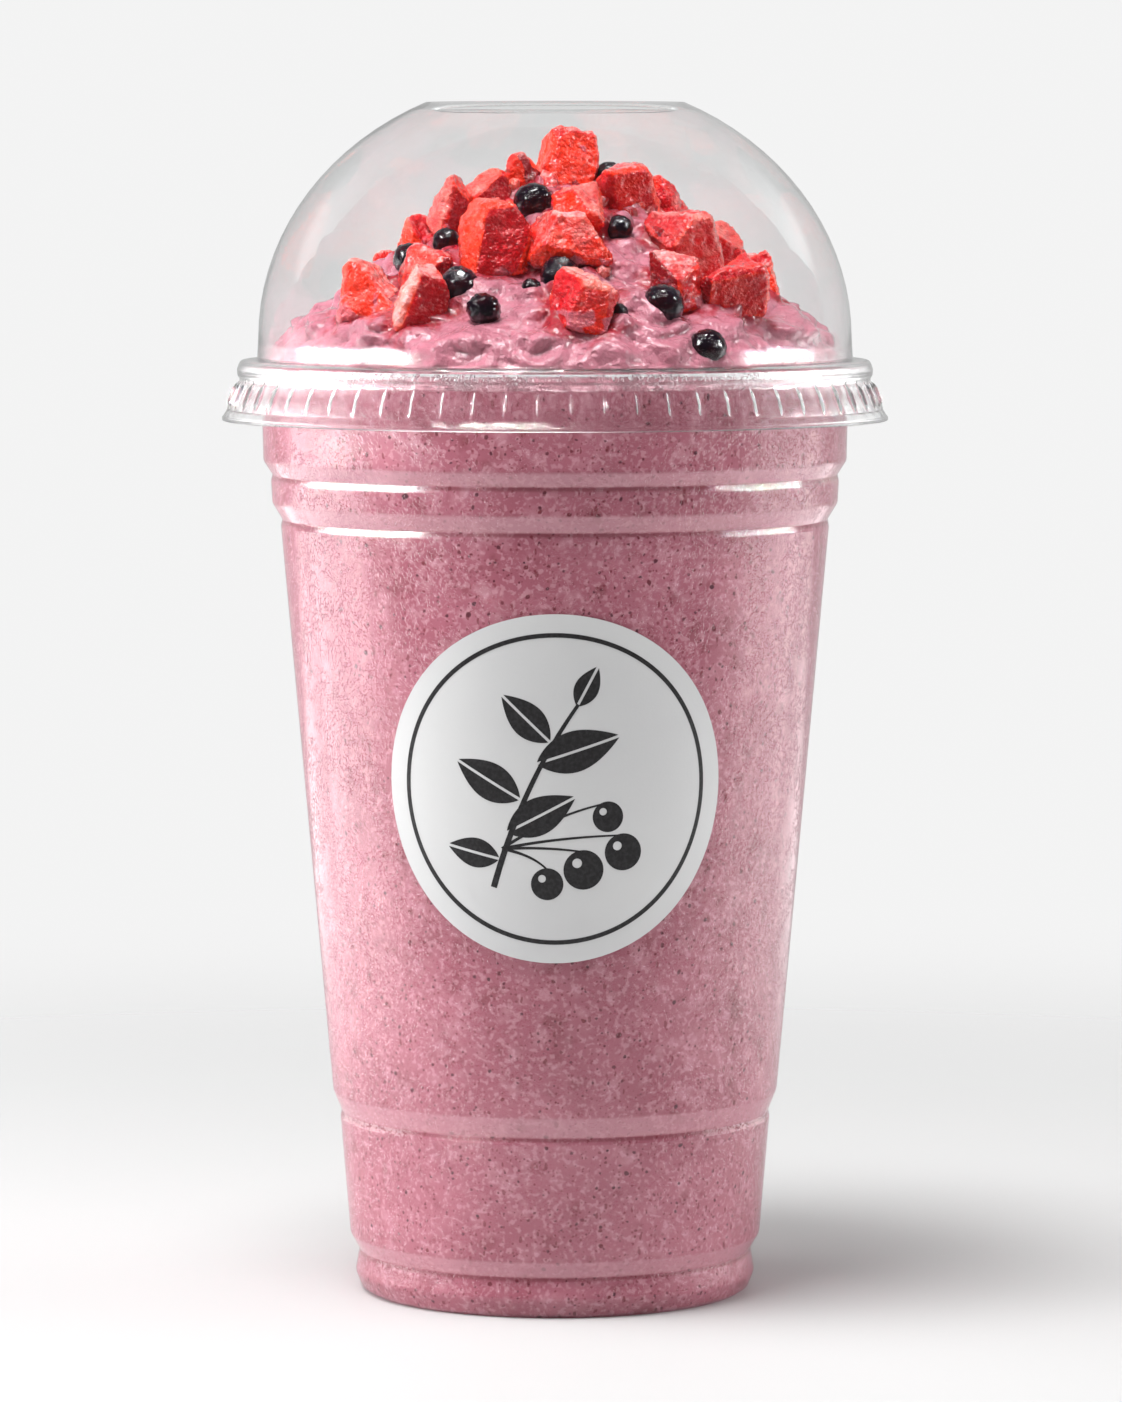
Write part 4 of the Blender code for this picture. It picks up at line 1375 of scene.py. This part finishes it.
class MakeLid(bpy.types.Operator):
    """Build the clear dome lid with its hole, bead and ribbed skirt"""

    bl_idname = "smoothie.make_lid"
    bl_label = "Lid"

    def execute(self, context):
        settings = context.scene.smoothie_lid
        clear_above = DOME_SPRING * MM
        material = clear_plastic(
            "lid_plastic", settings.tint, settings.roughness, lid_relief, clear_above
        )
        form = lathe(lid_outline(), settings.ribs * COLUMNS_PER_RIB, closed=True)
        raise_ribs(form, settings.ribs, settings.proud)
        add_piece("clear_lid", form, material, "dome_lid")
        return {"FINISHED"}


class MakeDrink(bpy.types.Operator):
    """Build the drink, which fills the cup and rises as a lumpy heap"""

    bl_idname = "smoothie.make_drink"
    bl_label = "Drink"

    def execute(self, context):
        settings = context.scene.smoothie_drink
        form = lathe(drink_outline(), DRINK_STEPS)
        shape_heap(form, settings.lumps, settings.cling)
        add_piece("pink_drink", form, drink_finish(settings), "smoothie")
        return {"FINISHED"}


class MakeStrawberries(bpy.types.Operator):
    """Build the cut pieces of strawberry"""

    bl_idname = "smoothie.make_strawberries"
    bl_label = "Strawberries"

    def execute(self, context):
        film = context.scene.smoothie_drink.pale_colour
        material = strawberry_finish(context.scene.smoothie_fruit, film)
        for name, node in named_nodes("strawberry_"):
            chance = random.Random(name)
            form = merged_copy(node)
            carve_strawberry(form, chance, PEAK_DEPTH if name.endswith(PEAK) else 1.0)
            form = softened(form, FRUIT_CELL, FRUIT_SMOOTHING)
            shape_strawberry(form, chance)
            add_piece(f"cut_{name}", form, material, name)
        return {"FINISHED"}


class MakeScraps(bpy.types.Operator):
    """Build the chopped scraps of strawberry between the larger fruit"""

    bl_idname = "smoothie.make_scraps"
    bl_label = "Scraps"

    def execute(self, context):
        material = bpy.data.materials.get("cut_strawberry")
        if material is None:
            raise RuntimeError("make the strawberries first: the scraps share their finish")
        form = scrap_form(context.scene.smoothie_drink.lumps)
        add_piece("strawberry_scraps", form, material, None)
        return {"FINISHED"}


class MakeBerries(bpy.types.Operator):
    """Build the dark round berries"""

    bl_idname = "smoothie.make_berries"
    bl_label = "Berries"

    def execute(self, context):
        film = context.scene.smoothie_drink.pale_colour
        material = berry_finish(context.scene.smoothie_fruit, film)
        for name, node in named_nodes("berry_"):
            form = shape_berry(name, node, random.Random(name))
            add_piece(f"dark_{name}", form, material, name)
        return {"FINISHED"}


class MakeSticker(bpy.types.Operator):
    """Build the round white sticker and its print"""

    bl_idname = "smoothie.make_sticker"
    bl_label = "Sticker"

    def execute(self, context):
        settings = context.scene.smoothie_sticker
        paper = bmesh.new()
        bmesh.ops.create_circle(paper, cap_ends=True, radius=LABEL_RADIUS, segments=160)
        layers = (
            ("round_sticker", paper, PAPER, paper_finish(settings), "label"),
            ("sticker_print", sprig_form(), INK, ink_finish(settings), None),
        )
        for name, form, (under, over), material, node in layers:
            wrap_on_cup(form, under, over - under)
            add_piece(name, form, material, node, STICKER_SHARP)
        return {"FINISHED"}


def add_softbox(name, place, aim, size, power, edge, seen, pieces=()):
    """A soft rectangular light that faces a spot and fades towards its edges.

    One that is seen as "fill" isn't mirrored, one as "glare" is only mirrored, one as "edge"
    is only seen in surfaces that aren't quite smooth, and one as "soft" isn't mirrored by the
    smooth clear dome. Pieces, where given, are all that it lights.
    """
    light = bpy.data.lights.new(name, "AREA")
    light.shape = "RECTANGLE"
    light.size, light.size_y = size
    light.energy = power
    light.use_nodes = True
    finish = Finish(light.node_tree)
    spot = finish.node("NewGeometry").outputs["Parametric"]
    strength = 1.0 / (1.0 - edge) ** 2
    for axis in "XY":
        across = finish.axis(spot, axis)
        for low, high in ((0.0, edge), (1.0, 1.0 - edge)):
            strength = finish.times(finish.span(across, low, high), strength)
    finish.feed(light.node_tree.nodes["Emission"].inputs["Strength"], strength)
    lamp = bpy.data.objects.new(name, light)
    lamp.location = place
    lamp.rotation_euler = (Vector(aim) - Vector(place)).to_track_quat("-Z", "Y").to_euler()
    lamp.visible_glossy = lamp.visible_transmission = seen != "fill"
    lamp.visible_diffuse = seen not in ("glare", "edge")
    light.cycles.use_multiple_importance_sampling = seen not in ("soft", "edge")
    bpy.context.scene.collection.objects.link(lamp)
    if pieces:
        group = bpy.data.collections.new(f"{name}_pieces")
        for piece in pieces:
            group.objects.link(piece)
        lamp.light_linking.receiver_collection = group


def power_of(brightness, size, edge):
    """The power that gives the middle of a softbox a brightness."""
    return brightness * math.pi * size[0] * size[1] * (1.0 - edge) ** 2


def make_backdrop(settings):
    """A pale backdrop, with a softer fill and a dimmer room for glossy surfaces to mirror."""
    world = bpy.data.worlds.new("backdrop")
    world.use_nodes = True
    world.node_tree.nodes.clear()
    finish = Finish(world.node_tree)
    path = finish.node("LightPath").outputs
    level = finish.between(path["Is Diffuse Ray"], settings.backdrop, settings.ambient)
    behind = finish.axis(finish.node("TexCoord").outputs["Generated"], "Y")
    far = settings.backdrop * ROOM_SHARE
    room = finish.span(behind, 0.2, 0.85, settings.mirrored, far)
    mirrored = finish.math("GREATER_THAN", path["Glossy Depth"], 0.5)
    level = finish.between(mirrored, level, room)
    shade = finish.node("Background", {"Color": (1.0, 1.0, 1.0), "Strength": level})
    finish.node("OutputWorld", {"Surface": shade.outputs[0]})
    return world


def light_cup(settings, plastic, wet):
    """The softboxes. Those beside the cup come in pairs, and the right ones are weaker."""
    # side, power, shares of it that the plastic mirrors in all and low down, brightness of
    # what the ribs mirror, and how far back and how wide that light is
    sides = (
        ("left", -1, settings.left, 0.125, 1.9, 1.0, -0.06, 0.75),
        ("right", 1, settings.right, 0.14, 2.2, 0.6, 0.05, 0.5),
    )
    for name, side, power, mirror, low, bright, back, width in sides:
        glare = power * mirror
        rib_size = (width, 0.24)
        rib_power = power_of(settings.edge * bright, rib_size, SHARP_EDGE)
        level = (side * 0.12, 0.13, 1.035)
        boxes = (
            ("fill", (0.6, 0.04, 0.16), MIDDLE, (0.74, 0.42), power, 0.34, "fill"),
            ("glare", (0.58, 0.15, 0.02), (0.0, 0.0, 0.02), (0.5, 0.34), glare, 0.2, "glare"),
            ("low", (0.34, 0.13, 0.06), level, (0.6, 0.54), glare * low, 0.25, "glare"),
            ("edge", (0.58, back, 0.26), MIDDLE, rib_size, rib_power, SHARP_EDGE, "edge", plastic),
        )
        for kind, (out, *rest), *more in boxes:
            add_softbox(f"{name}_{kind}", (side * out, *rest), *more)
    place = (-0.12, -0.16, 0.72)
    add_softbox("top_softbox", place, MIDDLE, (0.4, 0.36), settings.top, 0.3, "soft")
    glints = (
        ("left", (-0.36, -0.3, 0.44), (0.18, 0.12), 1.2),
        ("top", (0.03, -0.16, 0.74), (0.24, 0.13), 1.0),
        ("right", (0.42, -0.1, 0.36), (0.1, 0.14), 1.0),
    )
    for name, place, size, share in glints:
        power = power_of(settings.glint * share, size, SHARP_EDGE)
        add_softbox(f"{name}_glint", place, MIDDLE, size, power, SHARP_EDGE, "glare", wet)


class MakeStage(bpy.types.Operator):
    """Build the floor, the lights, the backdrop and the camera"""

    bl_idname = "smoothie.make_stage"
    bl_label = "Stage"

    def execute(self, context):
        scene = context.scene
        settings = scene.smoothie_stage
        form = bmesh.new()
        bmesh.ops.create_circle(form, cap_ends=True, radius=settings.floor_size, segments=96)
        add_object("floor", form, floor_finish(settings))

        scene.world = make_backdrop(settings)
        pieces = [o for o in scene.objects if o.name not in frame["nodes"]]
        plastic = [o for o in pieces if o.name.startswith("clear_")]
        wet = [o for o in pieces if o.name.startswith(("pink_", "cut_", "dark_", "strawberry_"))]
        light_cup(settings, plastic, wet)

        data = bpy.data.cameras.new("camera")
        data.lens = CAMERA_LENS
        data.sensor_width = 36.0
        data.shift_x = CAMERA_SHIFT
        data.clip_start = 0.01
        data.clip_end = 50.0
        camera = bpy.data.objects.new("camera", data)
        camera.location = CAMERA_PLACE
        camera.rotation_euler = (math.radians(90.0 - CAMERA_PITCH), 0.0, 0.0)
        scene.collection.objects.link(camera)
        scene.camera = camera
        scene.view_settings.view_transform = "Standard"
        return {"FINISHED"}


class SmoothiePanel(bpy.types.Panel):
    bl_idname = "VIEW3D_PT_smoothie"
    bl_label = "Berry smoothie"
    bl_space_type = "VIEW_3D"
    bl_region_type = "UI"
    bl_category = "Smoothie"

    def draw(self, context):
        layout = self.layout
        for operator, settings in PIECES:
            box = layout.box()
            box.operator(operator.bl_idname)
            if settings:
                group = getattr(context.scene, settings)
                for key in group.bl_rna.properties.keys():
                    if key not in ("rna_type", "name"):
                        box.prop(group, key)


SETTINGS = {
    "smoothie_cup": CupSettings,
    "smoothie_lid": LidSettings,
    "smoothie_drink": DrinkSettings,
    "smoothie_fruit": FruitSettings,
    "smoothie_sticker": StickerSettings,
    "smoothie_stage": StageSettings,
}
PIECES = (
    (MakeCup, "smoothie_cup"),
    (MakeLid, "smoothie_lid"),
    (MakeDrink, "smoothie_drink"),
    (MakeStrawberries, "smoothie_fruit"),
    (MakeScraps, None),
    (MakeBerries, None),
    (MakeSticker, "smoothie_sticker"),
    (MakeStage, "smoothie_stage"),
)


def register():
    for name, group in SETTINGS.items():
        bpy.utils.register_class(group)
        setattr(bpy.types.Scene, name, PointerProperty(type=group))
    for operator, _ in PIECES:
        bpy.utils.register_class(operator)
    bpy.utils.register_class(SmoothiePanel)


def unregister():
    bpy.utils.unregister_class(SmoothiePanel)
    for operator, _ in reversed(PIECES):
        bpy.utils.unregister_class(operator)
    for name, group in SETTINGS.items():
        delattr(bpy.types.Scene, name)
        bpy.utils.unregister_class(group)


def main():
    register()
    bpy.ops.smoothie.make_cup()
    bpy.ops.smoothie.make_lid()
    bpy.ops.smoothie.make_drink()
    bpy.ops.smoothie.make_strawberries()
    bpy.ops.smoothie.make_scraps()
    bpy.ops.smoothie.make_berries()
    bpy.ops.smoothie.make_sticker()
    bpy.ops.smoothie.make_stage()


if __name__ == "__main__":
    main()
